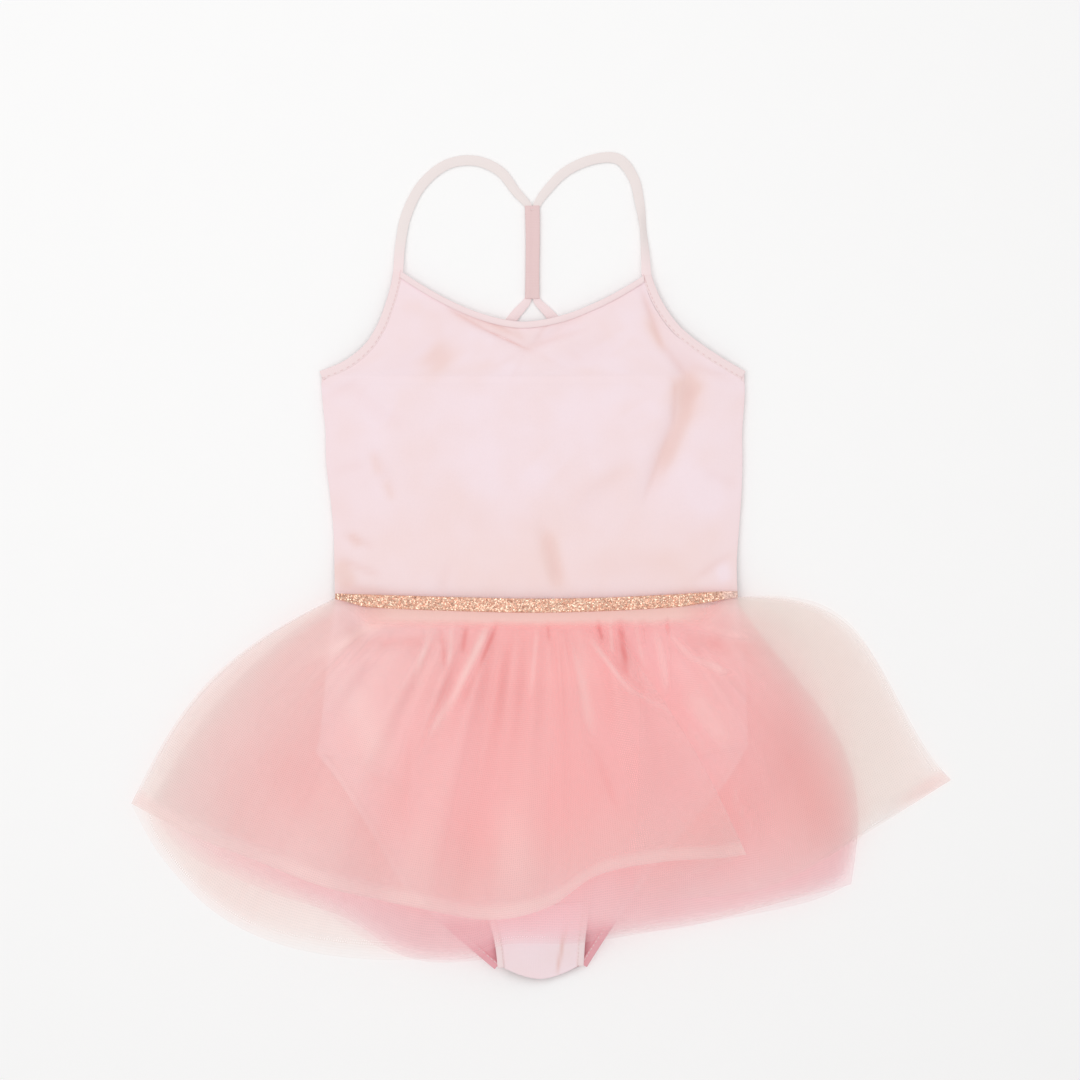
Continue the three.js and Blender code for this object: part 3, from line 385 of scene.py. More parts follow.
def loft(x, y):
    rise = smoothstep(gather_line(x) - y, 0, GATHER_RISE)
    body = SKIRT_LOFT * quarter_round(inset(UNDER_REACH, x, y) / SKIRT_EDGE)
    flap = FLAP_LOFT * quarter_round(inset(TOP_REACH, x, y) / FLAP_EDGE)
    return rise * (body * lerp(HEM_LOFT, 1, smoothstep(y, HEM_FALL_TO, HEM_FALL_FROM)) + flap)


def looseness(x, y):
    return SLACK * smoothstep(gather_line(x) - y, 0, SLACK_RISE)


def tulle_step(x, y):
    return TULLE + SEAM_GAP + looseness(x, y)


def skirt_bulk(x, y, at_corner=0.0):
    return (RIBBON_BULK + at_corner * towards_side(x)) * (1 - smoothstep(gather_line(x) - y, 0, GATHER_RISE))


def under_is_below(x, y):
    return smoothstep(inset(UNDER_REACH, x, y), -38, -2)


def body_is_below(x, y):
    return (BODY_STACK + 2 * looseness(x, y)) * smoothstep(inset(BRIEF_REACH, x, y), -46, -2)


# What is packed below each layer, its share of the loft, and the room its own gathers have.
LAYERS = {
    "top_back": (skirt_bulk, 0, 0.12),
    "under_back": (lambda x, y: tulle_step(x, y) + skirt_bulk(x, y), 0.15, 0.12),
    "body": (lambda x, y: 2 * tulle_step(x, y) * under_is_below(x, y) + skirt_bulk(x, y), 0.31, 0),
    "under_front": (
        lambda x, y: 2 * tulle_step(x, y) + body_is_below(x, y) + skirt_bulk(x, y, 1), 0.37, 0.26),
    "top_front": (
        lambda x, y: tulle_step(x, y) * (1 + 2 * under_is_below(x, y)) + body_is_below(x, y)
        + skirt_bulk(x, y, 2.4), 0.67, 0.28),
}


def layer_height(layer, x, y):
    packed, share, _ = LAYERS[layer]
    return packed(x, y) + share * loft(x, y)


WAIST_HEIGHT = LAYERS["body"][0](0, SEAM_Y)


def back_height(x, y):
    if y > SEAM_Y:
        return WAIST_HEIGHT * smoothstep(-y, -26, 18) + LAYERS["body"][1] * loft(x, y)
    if y > CROTCH_FROM:
        return layer_height("body", x, y)
    down = smoothstep(y, CROTCH_FROM, CROTCH_TO)
    return lerp(layer_height("body", x, CROTCH_FROM), layer_height("body", x, CROTCH_TO), down)


def bodice_puff(x, y):
    middle = smoothstep(y, WAIST_Y, WAIST_Y + 30) * (1 - smoothstep(y, NECK_TOP_Y - 70, NECK_TOP_Y - 15))
    puff = BODY_PUFF * quarter_round(inset(SIDES, x, y) / BODY_PUFF_REACH) * lerp(0.35, 1, middle)
    puff -= crease_depth(x, y)
    return max(0.0, puff) * smoothstep(y, WAIST_Y + 2, WAIST_Y + 12)


def front_height(x, y):
    return back_height(x, y) + FRONT_OVER_BACK + looseness(x, y) + bodice_puff(x, y)


def fine_relief(x, y):
    """How deep the front's small puckers and its cloth's slight unevenness are."""
    broad = noise.noise(Vector((x / 24, y / 30, 3.1))) * 0.22
    small = noise.noise(Vector((x / 9, y / 12, 7.7))) * 0.07
    return pucker_depth(x, y) + (broad + small)


# Materials by name, and the amounts that are painted on every cloth for them.
FINISHES = {}
PAINTED = ("shade", "depth", "tint")


# Making pieces
def place(x, y, z):
    return (Vector((x, y, z)) + ORIGIN) * MM


def to_object(name, mesh, finish):
    """A finished mesh as a piece of the leotard."""
    data = bpy.data.meshes.new(name)
    mesh.to_mesh(data)
    mesh.free()
    for polygon in data.polygons:
        polygon.use_smooth = True
    data.materials.append(FINISHES[finish])
    piece = bpy.data.objects.new(name, data)
    bpy.context.scene.collection.objects.link(piece)
    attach(piece, "root")
    return piece


def cloth_grid(columns, rows, surface, cut, paint=None, lines=None):
    """A grid of cloth. surface(u, v) places a point, cut is the cloth's size for its weave, and
    paint(u, v, x, y) gives its shade, depth and tint there. lines are the places of the columns across the
    flat cloth, where they aren't even."""
    mesh = bmesh.new()
    bmesh.ops.create_grid(mesh, x_segments=columns, y_segments=rows, size=0.5)
    weave = mesh.loops.layers.uv.new("cloth")
    painted = [mesh.verts.layers.float.new(name) for name in PAINTED]
    for face in mesh.faces:
        for loop in face.loops:
            u, v = loop.vert.co.x + 0.5, 0.5 - loop.vert.co.y
            across = lines[round(u * columns)] if lines else u * cut[0]
            loop[weave].uv = (across * MM, v * cut[1] * MM)
    for vert in mesh.verts:
        u, v = vert.co.x + 0.5, 0.5 - vert.co.y
        x, y, z = surface(u, v)
        if paint:
            for layer, value in zip(painted, paint(u, v, x, y)):
                vert[layer] = value
        vert.co = place(x, y, z)
    return mesh


def thicken(piece, thickness, offset=1.0, edge=0.3):
    """A wall of cloth with softly turned edges."""
    wall = piece.modifiers.new("wall", "SOLIDIFY")
    wall.thickness = thickness * MM
    wall.offset = offset
    wall.use_even_offset = False
    turned = piece.modifiers.new("turned edge", "BEVEL")
    turned.width = edge * MM
    turned.segments = 2
    turned.limit_method = "ANGLE"
    turned.angle_limit = math.radians(60)
    return piece


class Edges:
    """The left and right edge of a stretch of rows, moved in by a binding's width."""

    def __init__(self, rows, width=0.0, start=0.0, end=1.0, columns=EDGE_COLUMNS):
        left_x, left_y, right_x, right_y = columns.split()
        self.left_rail, self.right_rail = Rail(rows, left_x, left_y), Rail(rows, right_x, right_y)
        self.width, self.start, self.end = width, start, end

    def left(self, t):
        return self.left_rail.beside(lerp(self.start, self.end, t), self.width)

    def right(self, t):
        return self.right_rail.beside(lerp(self.start, self.end, t), -self.width)


def panel_surface(sections, total, height, spread):
    """A panel of jersey, cut as rows between two edges, from the top down."""
    def surface(u, v):
        row = round(v * total)
        n = 0
        while n < len(sections) - 1 and row >= sections[n][1]:
            row -= sections[n][1]
            n += 1
        edges, steps, hang = sections[n]
        t = row / steps
        p = edges.left(t).lerp(edges.right(t), spread(u))
        y = p.y - hang(spread(u), t)
        return p.x, y, height(p.x, y)
    return surface


def arch(share):
    return 1 - abs(2 * share - 1) ** NECK_ROUNDNESS


def neck_y(u):
    return NECK_TOP_Y - NECK_TILT * u - NECK_DEPTH * arch(u)


def even_spread(u):
    return u


def closer_at_sides(u):
    return 0.5 - 0.5 * math.cos(math.pi * u)


def back_rise(u):
    return BACK_TOP_RISE * (0.5 + 0.5 * math.cos(math.pi * (2 * u - 1))) ** 1.3


def no_hang(u, t):
    return 0.0


RELIEF_LIFT = 0.35
SIDE_EDGES = Edges(SIDES, columns="left y right y")
NECK_EDGES = Edges(ARMHOLES, BINDING - UNDER_BINDING, 0, 0.965)
CORNERS = Edges(ARMHOLES, BINDING + SEAM_GAP)


def front_relief(x, y):
    """The front bodice's height with its finest relief, which fades at the waist."""
    return front_height(x, y) + RELIEF_LIFT - fine_relief(x, y) * smoothstep(y, WAIST_Y, WAIST_Y + 8)


def plain_jersey(u, v, x, y):
    return 0.0, 0.0, 0.5


def creased_jersey(u, v, x, y):
    """The front bodice's painted shade: how deep a place lies in a crease or a pucker, and how warm its
    painted shade is, warmer towards the waist and cooler under painted highlights.
    """
    warm = 0.2 + 0.4 * (1 - smoothstep(y, -10, 80)) + painted_warm_shade_and_cool_light(x, y)
    # Painted shade from how deep the creases and puckers are
    deep = crease_depth(x, y) / 11 + pucker_depth(x, y) / 2
    return clamp(0.45 * clamp(warm - 0.6) + deep), 0.0, clamp(warm)


def gusset_jersey(u, v, x, y):
    # A faint painted shade over the gusset, darker in the painted shadow of its fold
    return 0.05 + 0.8 * gusset_fold_shadow(x, y), 0.0, 0.1


def shaded_inside(u, v, x, y):
    """The inside of the back shows beside the gusset in a deep pink painted shade, darkest in a painted
    shadow of the leg binding along its inner edge.
    """
    return 0.0, smoothstep(y, -222, -232) * (1 + 0.6 * (1 - smoothstep(abs(x), 27, 33))), 0.5


JERSEY_PAINT = {"bodice_front": creased_jersey, "gusset": gusset_jersey, "brief_back": shaded_inside}


def panel_sections():
    """Each jersey panel: its columns, sections of rows, height, how its columns are spread, and its cut."""
    def neck_hang(u, t):
        corner = lerp(NECK_EDGES.left(0).y, NECK_EDGES.right(0).y, u)
        return (corner - neck_y(u) + NECK_BINDING - UNDER_BINDING) * (1 - t)

    def back_hang(u, t):
        return -back_rise(u) * (1 - t) ** 2

    def crotch_hang(u, t):
        return CROTCH_SAG * arch(u) * t ** 2

    inside_leg = LEG_BINDING - UNDER_BINDING
    return {
        "bodice_front": (120, [(NECK_EDGES, 36, neck_hang), (SIDE_EDGES, 60, no_hang)],
                         front_relief, even_spread, (270, 212)),
        "bodice_back": (60, [(SIDE_EDGES, 48, back_hang)], back_height, even_spread, (270, 170)),
        "brief_front": (48, [(Edges(HIPS), 36, no_hang),
                             (Edges(FRONT_LEGS, inside_leg, 0, 0.75), 40, no_hang)],
                        front_height, closer_at_sides, (276, 190)),
        "gusset": (32, [(Edges(FRONT_LEGS, inside_leg, 0.752, 1), 24, crotch_hang)],
                   front_height, closer_at_sides, (60, 50)),
        "brief_back": (48, [(Edges(HIPS), 36, no_hang), (Edges(BACK_LEGS, inside_leg), 48, crotch_hang)],
                       back_height, closer_at_sides, (276, 240)),
    }


STITCH_WIDTH = 0.68
STITCH_HEIGHT = 0.4
STITCH_LIFT = 0.08


def crown(u):
    return TAPE_CROWN * (1 - (2 * u - 1) ** 2)


def tape_top(surface, lift=0.0, doubled=False):
    """The crowned outside of a tape, which has a crown for each of two tapes where it is doubled."""
    def top(u, v):
        x, y, z = surface(u, v)
        return x, y, z + lift + TAPE_EDGE + crown(2 * u % 1 if doubled and u < 1 else u)
    return top


def tape(name, top, columns, rows, cut, paint=None, finish="elastic tape"):
    """A narrow tape with a crowned outside."""
    piece = to_object(name, cloth_grid(columns, rows, top, cut, paint), finish)
    return thicken(piece, TAPE_EDGE, offset=-1.0, edge=0.35)


def stitches(name, top, length, across):
    """A row of stitches along a tape. across is its place over the tape's width."""
    sizes = bpy.context.scene.leotard_sizes
    mesh = bmesh.new()
    count = round(length / sizes.stitch_pitch)
    shape = Matrix.Diagonal((sizes.stitch / 2, STITCH_WIDTH / 2, STITCH_HEIGHT / 2, 1000)) * MM
    for n in range(count):
        v = (n + 0.5) / count
        here, next_on = Vector(top(across, v)), Vector(top(across, min(v + 0.002, 1.0)))
        run = next_on - here
        turn = Matrix.Rotation(math.atan2(run.y, run.x), 4, "Z")
        spot = Matrix.Translation(place(*here) + Vector((0, 0, STITCH_LIFT * MM)))
        bmesh.ops.create_uvsphere(mesh, u_segments=8, v_segments=5, radius=1, matrix=spot @ turn @ shape)
    return to_object(name, mesh, "stitching")


def binding_surface(rows, side, width, height):
    """A binding outside a panel's edge: side is 1 for a right edge and -1 for a left one."""
    columns = EDGE_COLUMNS.split()
    rail = Rail(rows, *(columns[2:] if side > 0 else columns[:2]))

    def surface(u, v):
        p = rail.beside(v, (u - 1) * width if side > 0 else u * width)
        return p.x, p.y, height(p.x, p.y)
    return surface


# The doubled strap lies over the ends of the tapes that it holds.
STRAP_LIFT = {"centre_strap": 0.8, "strap_left": 0.1, "strap_right": 0.1}


def strap_surface(rows):
    """A strap on its middle line, from the height of the front's corner down to the surface."""
    rail = Rail(rows, "x", "y")
    corner = front_height(rows["x"][0], rows["y"][0])

    def surface(u, v):
        width, lift, roll = (on_curve(rows[name], v) for name in ("width", "lift", "roll"))
        p = rail.beside(v, (u - 0.5) * width * math.cos(roll))
        return p.x, p.y, max(0.0, lift) * corner + u * width * math.sin(abs(roll))
    return surface


def bowed(s, peak):
    power = math.log(0.5) / math.log(max(peak, 1 - peak))
    return math.sin(math.pi * (1 - (1 - s) ** power if peak < 0.5 else s ** power))


def crest(turns):
    return 0.5 - 0.5 * math.cos(2 * math.pi * turns)


def gathers(u, s, small, broad, start):
    """The small gathers below the seam, and the broad ones that they open into."""
    wander = 0.3 * math.sin(2 * math.pi * (1.7 * u + start))
    fine = crest(small * u + wander) * (1 - smoothstep(s, 0.1, 0.75))
    wide = crest(broad * u + start + wander) * smoothstep(s, 0.15, 0.8)
    return fine, wide


def ridge_height(waist_x, opening, s):
    opened = smoothstep(opening, 0, RIDGE_RISE)
    height = 0.0
    for x, width, tall, reach in RIDGES:
        if abs(waist_x - x) < 2.5 * width:
            fade = 1 - smoothstep(s, 0.3 * reach, reach)
            height += opened * fade * tall * math.exp(-2 * ((waist_x - x) / width) ** 2)
    return height


# The share of a layer's rows above the gathers, how its rows crowd there, and where its width is measured
HEADER = 0.03
CROWDED = 1.15
MEASURED_AT = 0.72
# The soft edges of the outer and the pink nets, and how near its side seams a layer lies calm
SOFT_EDGE = 0.014
PINK_SOFT_EDGE = 0.06
SIDE_CALM = 0.03
PLEAT_RISE = 0.5
BROAD_SHADE = 0.42


def net_fold(x, y):
    return clamp(net_folds(x, y), -1, 1)


def hem_light(layer, u):
    """How much a layer's hem catches the light. The outer net's is lost where it lies on the pink one."""
    if layer != "top_front":
        return 0.0
    return 1 - 0.9 * smoothstep(u, 0.69, 0.73) * (1 - smoothstep(u, 0.96, 0.99))


def woven(surface, columns):
    """How far across the net each of its lines lies, measured most of the way down to the hem."""
    points = [Vector(surface(n / columns, MEASURED_AT)) for n in range(columns + 1)]
    across = [0.0]
    for before, after in zip(points, points[1:]):
        across.append(across[-1] + (after - before).length)
    return across


def down(v):
    """The share of the way from the gathers to the hem."""
    return max(0.0, (v - HEADER) / (1 - HEADER)) ** CROWDED


def skirt_layer(rows, layer, folds, pleats, seed):
    """The surface of one layer of the skirt and how its net is painted, with painted shade in its pleats,
    and on the outer net also in its folds and broad valleys, with painted highlights on its ridges and hem.
    folds are its small and broad gathers and where they start, and pleats the fine folds that open from the
    seam."""
    outer = layer == "top_front"
    lines, fold_shade_at = {}, {}

    def line(u):
        if u not in lines:
            lines[u] = [along(rows, "across", name, u) for name in SKIRT_COLUMNS.split()[1:]]
        return lines[u]

    def pleat(u, s):
        """From -1 in a fine fold's valley to 1 on its crest, uneven from fold to fold."""
        wander = 1.6 * noise.noise(Vector((u * 9, seed, s * 0.6)))
        wave = math.sin(2 * math.pi * (pleats * u + wander))
        unequal = 0.65 + 0.5 * noise.noise(Vector((u * 31, seed + 5, s * 1.4)))
        return wave * unequal

    def surface(u, v):
        waist_x, hem_x, hem_y, bulge, peak, turn, calm = line(u)[:7]
        if v <= HEADER:
            y = lerp(seam_line(waist_x), gather_line(waist_x), v / HEADER)
            return waist_x, y, layer_height(layer, waist_x, y) + TULLE / 2
        s = down(v)
        start = Vector((waist_x, gather_line(waist_x)))
        chord = Vector((hem_x, hem_y)) - start
        aside = Vector((-chord.y, chord.x)).normalized()
        p = start + chord * s + aside * bulge * bowed(s, peak)
        full = loft(p.x, p.y)
        opening = gather_line(waist_x) - p.y
        small, broad = gathers(u, s, *folds)
        wave = LAYERS[layer][2] * full * (small + broad) * clamp(calm)
        ridge = ridge_height(waist_x, opening, s) if outer else 0.0
        folded = max(0.0, turn) * smoothstep(s, 0, TURNED_BY)
        fine = pleat(u, s) * PLEAT_RISE * smoothstep(opening, 0, 14) * (1 - 0.55 * smoothstep(s, 0.1, 0.8))
        fine *= clamp(full / 6)
        if outer:
            fold = net_fold(p.x, p.y)
            # Painted shade in the broad gathers' valleys and the net's slits, painted highlight on its
            # ridges
            valley = (0.5 * smoothstep(s, 0.15, 0.8) - broad) * clamp(calm)
            fold_shade_at[u, v] = fold + BROAD_SHADE * valley
            calmer = 1 - 0.8 * smoothstep(waist_x, 66, 92)
            fine -= fold * calmer * lerp(0.2, 1.4, clamp(full / 12))
        sewn = smoothstep(min(u, 1 - u), 0, SIDE_CALM)
        fine, wave = fine * sewn, wave * sewn
        return p.x, p.y, layer_height(layer, p.x, p.y) + TULLE / 2 + wave + ridge + folded + fine

    def paint(u, v, x, y):
        s = down(v)
        depth, tint = line(u)[7:9]
        close = 1 - smoothstep(s, 0, 0.5)
        hem = smoothstep(s, 0.93, 0.97) * hem_light(layer, u)
        # Painted shade in the fine pleats near the seam, and a painted highlight along the outer net's hem
        pleat_shade = 0.12 * close * smoothstep(s, 0.02, 0.12) + 0.03
        shade = fold_shade_at.get((u, v), 0.0) - pleat(u, s) * pleat_shade - 0.5 * hem
        soft = SOFT_EDGE if outer else PINK_SOFT_EDGE
        edge = smoothstep(s, 1.0, 1 - soft) * smoothstep(min(u, 1 - u), 0, soft)
        strength = depth * (1 - 0.2 * smoothstep(s, 0.75, 1)) * (1 + 0.2 * close) * lerp(0.3, 1, edge)
        return clamp(0.5 + 0.5 * shade), strength, clamp(tint * (1 - 0.65 * smoothstep(s, 0.62, 1)))
    return surface, paint


# Shaders
class Value:
    """A number that a shader works out at each point, used like any number."""

    def __init__(self, finish, socket):
        self.finish, self.socket = finish, socket

    def maths(self, operation, first, second=0.0):
        return self.finish.node("ShaderNodeMath", {"operation": operation}, {0: first, 1: second})

    def __add__(self, other):
        return self.maths("ADD", self, other)

    def __radd__(self, other):
        return self.maths("ADD", other, self)

    def __sub__(self, other):
        return self.maths("SUBTRACT", self, other)

    def __rsub__(self, other):
        return self.maths("SUBTRACT", other, self)

    def __mul__(self, other):
        return self.maths("MULTIPLY", self, other)

    def __rmul__(self, other):
        return self.maths("MULTIPLY", other, self)

    def __pow__(self, other):
        return self.maths("POWER", self, other)

    def fraction(self):
        return self.maths("FRACT", self)

    def size(self):
        return self.maths("ABSOLUTE", self)

    def held(self, low=0.0, high=1.0):
        return self.maths("MINIMUM", self.maths("MAXIMUM", self, low), high)


class Finish:
    """A material for one of the leotard's cloths."""

    def __init__(self, name, **fixed):
        self.material = FINISHES[name] = bpy.data.materials.new(name)
        self.material.use_nodes = True
        self.nodes = self.material.node_tree.nodes
        self.shader = next(node for node in self.nodes if node.type == "BSDF_PRINCIPLED")
        for socket, value in fixed.items():
            self.shader.inputs[socket.replace("_", " ").title().replace("Ior", "IOR")].default_value = value

    def node(self, kind, settings, sockets, output=0):
        """Any node: its settings first, and then the values or links of its sockets."""
        made = self.nodes.new(kind)
        for name, value in settings.items():
            setattr(made, name, value)
        for key, value in sockets.items():
            self.feed(made.inputs[key], value)
        return Value(self, made.outputs[output])

    def feed(self, socket, value):
        if isinstance(value, Value):
            self.material.node_tree.links.new(value.socket, socket)
        else:
            socket.default_value = value

    def set(self, name, value):
        self.feed(self.shader.inputs[name], value)

    def noise(self, where, scale, detail=2.0):
        return self.node("ShaderNodeTexNoise", {}, {"Vector": where, "Scale": scale, "Detail": detail})

    def attribute(self, name):
        return self.node("ShaderNodeAttribute", {"attribute_name": name}, {}, "Fac")

    def mix(self, share, first, second):
        """A colour between two colours."""
        first, second = (each if isinstance(each, Value) else (*each, 1) for each in (first, second))
        return self.node("ShaderNodeMix", {"data_type": "RGBA"}, {0: share, 6: first, 7: second}, 2)

    def cloth(self):
        """Places on the flat cloth in metres."""
        return self.node("ShaderNodeUVMap", {"uv_map": "cloth"}, {})

    def inside(self):
        """Places in the piece in metres."""
        return self.node("ShaderNodeTexCoord", {}, {}, "Object")

    def part(self, vector, axis):
        """One axis of a place, or one channel of a colour."""
        return self.node("ShaderNodeSeparateXYZ", {}, {0: vector}, axis)

    def bump(self, height, strength, distance):
        given = {"Height": height, "Strength": strength, "Distance": distance * MM}
        self.set("Normal", self.node("ShaderNodeBump", {}, given, "Normal"))


def linear(colour):
    """A colour from 0 to 255 as the shader takes it."""
    def one(value):
        value /= 255
        return value / 12.92 if value <= 0.04045 else ((value + 0.055) / 1.055) ** 2.4
    return (*map(one, colour), 1.0)


def rows_of(where, width):
    """From 1 at each edge of evenly laid rows to 0 on their middle lines."""
    return (2 * (where * (1000 / width)).fraction() - 1).size()


def knit(finish, flat, sizes):
    """Columns of small V stitches, from 0 between them to 1 on their crowns."""
    aside = rows_of(finish.part(flat, "X"), sizes.knit_column)
    stitch = (finish.part(flat, "Y") * (1000 / sizes.knit_row) + aside * 0.55).fraction()
    return (1 - aside ** 3) * (1 - (2 * stitch - 1) ** 2)


def jersey_finish(colours, sizes):
    """Fine matt jersey with painted shade: warm in its creases and between its stitches, cooler on its
    painted highlights, with a tone that also varies at random, and a deep pink painted shade inside the
    crotch.
    """
    finish = Finish("jersey", roughness=0.8, sheen_weight=0.08, sheen_roughness=0.5, specular_ior_level=0.2)
    flat = finish.cloth()
    knitting = knit(finish, flat, sizes)
    uneven = finish.noise(flat, 24, 2)
    # Warm painted shade and cool painted highlight, with random tone over them
    painted_warmth_and_tone = (finish.attribute("tint") + (uneven - 0.5) * 1.3).held()
    plain = finish.mix(painted_warmth_and_tone, colours.jersey_lit_and_cool, colours.jersey_shaded_and_warm)
    # Painted shade in the creases and puckers, and between the knit's stitches
    creased = finish.mix((finish.attribute("shade") * 0.9).held(), plain, colours.crease)
    knitted = finish.mix((1 - knitting) * 0.07, creased, colours.crease)
    # The deep pink painted shade of the inside, darker still in the leg binding's painted shadow where depth
    # is above 1
    turned = finish.attribute("depth")
    lined = finish.mix(turned.held(), knitted, colours.inside)
    finish.set("Base Color", finish.mix((turned - 1).held(), lined, colours.inside_binding_shadow))
    finish.set("Roughness", 0.74 + 0.12 * uneven)
    finish.bump(knitting, 0.35, 0.12)


def tape_finish(name, light, deep, inside, sizes, joined=None):
    """Ribbed elastic tape, with painted shade between its ribs: a deep pink painted shade where its inside
    shows, and the joined colour at its foot.
    """
    finish = Finish(name, roughness=0.7, sheen_weight=0.1, sheen_roughness=0.4, specular_ior_level=0.3)
    flat = finish.cloth()
    ribs, cords = (rows_of(finish.part(flat, axis), sizes.rib) for axis in "YX")
    uneven = finish.noise(flat, 120, 2)
    # Painted shade between the ribs, with random unevenness
    ribbed = finish.mix((ribs * 0.25 + uneven * 0.3).held(), light, deep)
    if joined:
        ribbed = finish.mix(finish.attribute("tint"), ribbed, joined)
    finish.set("Base Color", finish.mix(finish.attribute("depth").held(), ribbed, inside))
    finish.set("Roughness", 0.64 + 0.16 * uneven)
    finish.bump(ribs * 0.6 + cords * 0.4, 0.4, 0.15)


# How much of what is below a single layer of each net hides
PALE_CLOSENESS = 0.42
PINK_CLOSENESS = 0.68


def net_finish(name, colour, edge, closeness, colours, sizes):
    """Fine tulle: soft threads round small holes, with a deep pink painted shade in its slits and a paler
    painted highlight on its ridges.
    """
    finish = Finish(name, roughness=0.9, specular_ior_level=0.1)
    flat = finish.cloth()
    holes = finish.node(
        "ShaderNodeTexVoronoi", {"feature": "DISTANCE_TO_EDGE", "voronoi_dimensions": "2D"},
        {"Vector": flat, "Scale": 1000 / sizes.net_cell, "Randomness": 0.35}, "Distance")
    threads = (1 - holes * 3.2).held()
    drift = finish.noise(flat, 16, 2)
    # Painted shade in the slits and painted highlight on the ridges, where the net also lies closer
    fold = finish.attribute("shade") * 2 - 1
    slit, ridge = fold.held(), (fold * -1).held()
    strength = finish.attribute("depth") * closeness * (0.88 + 0.24 * drift) + slit * 0.6 + ridge * 0.5
    finish.set("Alpha", (strength * (0.9 + 0.2 * threads)).held(0.02, 0.97))
    tint = (finish.attribute("tint") + (drift - 0.5) * 0.35).held()
    plain = finish.mix(tint, edge, colour)
    slit_shaded = finish.mix(slit, plain, colours.net_slit_shade)
    finish.set("Base Color", finish.mix((ridge * 1.1).held(), slit_shaded, colours.net_ridge_highlight))
    finish.bump(threads, 0.15, 0.1)


def band_finish(colours, sizes):
    """The smooth band over the top of the gathers, which thins out towards its lower edge and its ends."""
    finish = Finish("band", roughness=0.8, sheen_weight=0.1, specular_ior_level=0.2)
    # The band grows paler down the skirt, towards the net's painted highlight colour
    finish.set("Base Color", finish.mix(finish.attribute("shade"), colours.band, colours.net_ridge_highlight))
    finish.set("Alpha", finish.attribute("depth"))
    finish.bump(knit(finish, finish.cloth(), sizes), 0.3, 0.1)


def glitter_finish(colours, sizes):
    finish = Finish("glitter", roughness=0.35, metallic=0.75)
    grain = {"Vector": finish.cloth(), "Scale": 1000 / sizes.glitter_grain, "Randomness": 1.0}
    speck, edge = (
        finish.node("ShaderNodeTexVoronoi", {"voronoi_dimensions": "2D"}, grain, output)
        for output in ("Color", "Distance"))
    red, green = finish.part(speck, "X"), finish.part(speck, "Y")
    base = finish.mix(red, colours.glitter_dark, colours.glitter_light)
    # Painted glints on the brightest specks
    painted_glints = finish.mix((green ** 3).held(), base, colours.glitter_glint)
    finish.set("Base Color", finish.mix(finish.attribute("depth"), painted_glints, colours.glitter_pale))
    finish.set("Roughness", 0.25 + 0.35 * green)
    finish.bump(red * (1 - edge), 0.9, 0.5)


def flake_finish(colours, sizes):
    finish = Finish("glitter flakes", roughness=0.22, metallic=0.9)
    uneven = finish.noise(finish.inside(), 900, 1)
    tone = ((uneven - 0.35) * 3.3).held()
    # Painted glints on the flakes, at random
    finish.set("Base Color", finish.mix(tone, colours.glitter_dark, colours.glitter_glint))
    finish.set("Roughness", 0.16 + 0.2 * uneven)


def thread_finish(colours, sizes):
    finish = Finish("stitching", roughness=0.6, sheen_weight=0.2)
    twist = finish.noise(finish.inside(), 2200, 1)
    # The thread takes the tapes' painted shade colour along its twist
    finish.set("Base Color", finish.mix(twist, colours.thread, colours.tape_shaded))
    finish.bump(twist, 0.3, 0.1)


def floor_finish(colours, sizes):
    finish = Finish("pale surface", roughness=0.85, specular_ior_level=0.1)
    grain = finish.noise(finish.inside(), 40, 3)
    finish.set("Base Color", finish.mix(grain * 0.3, colours.surface, (0.97, 0.97, 0.975)))


# Sizes and colours that a user would change
class LeotardSizes(bpy.types.PropertyGroup):
    knit_column: FloatProperty(name="Knit column", description="Width of a knit stitch in mm", default=0.9)
    knit_row: FloatProperty(name="Knit row", description="Height of a knit stitch in mm", default=0.8)
    rib: FloatProperty(name="Tape rib", description="Distance between the tape's ribs in mm", default=0.9)
    net_cell: FloatProperty(name="Net cell", description="Width of a hole of the tulle in mm", default=1.3)
    glitter_grain: FloatProperty(name="Glitter grain", description="Width of a speck in mm", default=0.9)
    flake: FloatProperty(name="Flake", description="Width of a loose flake of glitter in mm", default=1.0)
    stitch: FloatProperty(name="Stitch", description="Length of a stitch in mm", default=2.2)
    stitch_pitch: FloatProperty(name="Stitch pitch", description="From stitch to stitch in mm", default=3.1)
    light: FloatProperty(name="Light", description="Power of the soft light", default=15.8, unit="POWER")
    ambient: FloatProperty(name="Ambient", description="Strength of the light from all round", default=0.62)


def colour(part, rgb):
    """A colour that a user can change, named after the part that has it."""
    return FloatVectorProperty(
        name=part.capitalize(), description=f"Colour of the {part}", subtype="COLOR", size=3, min=0, max=1,
        default=linear(rgb)[:3])


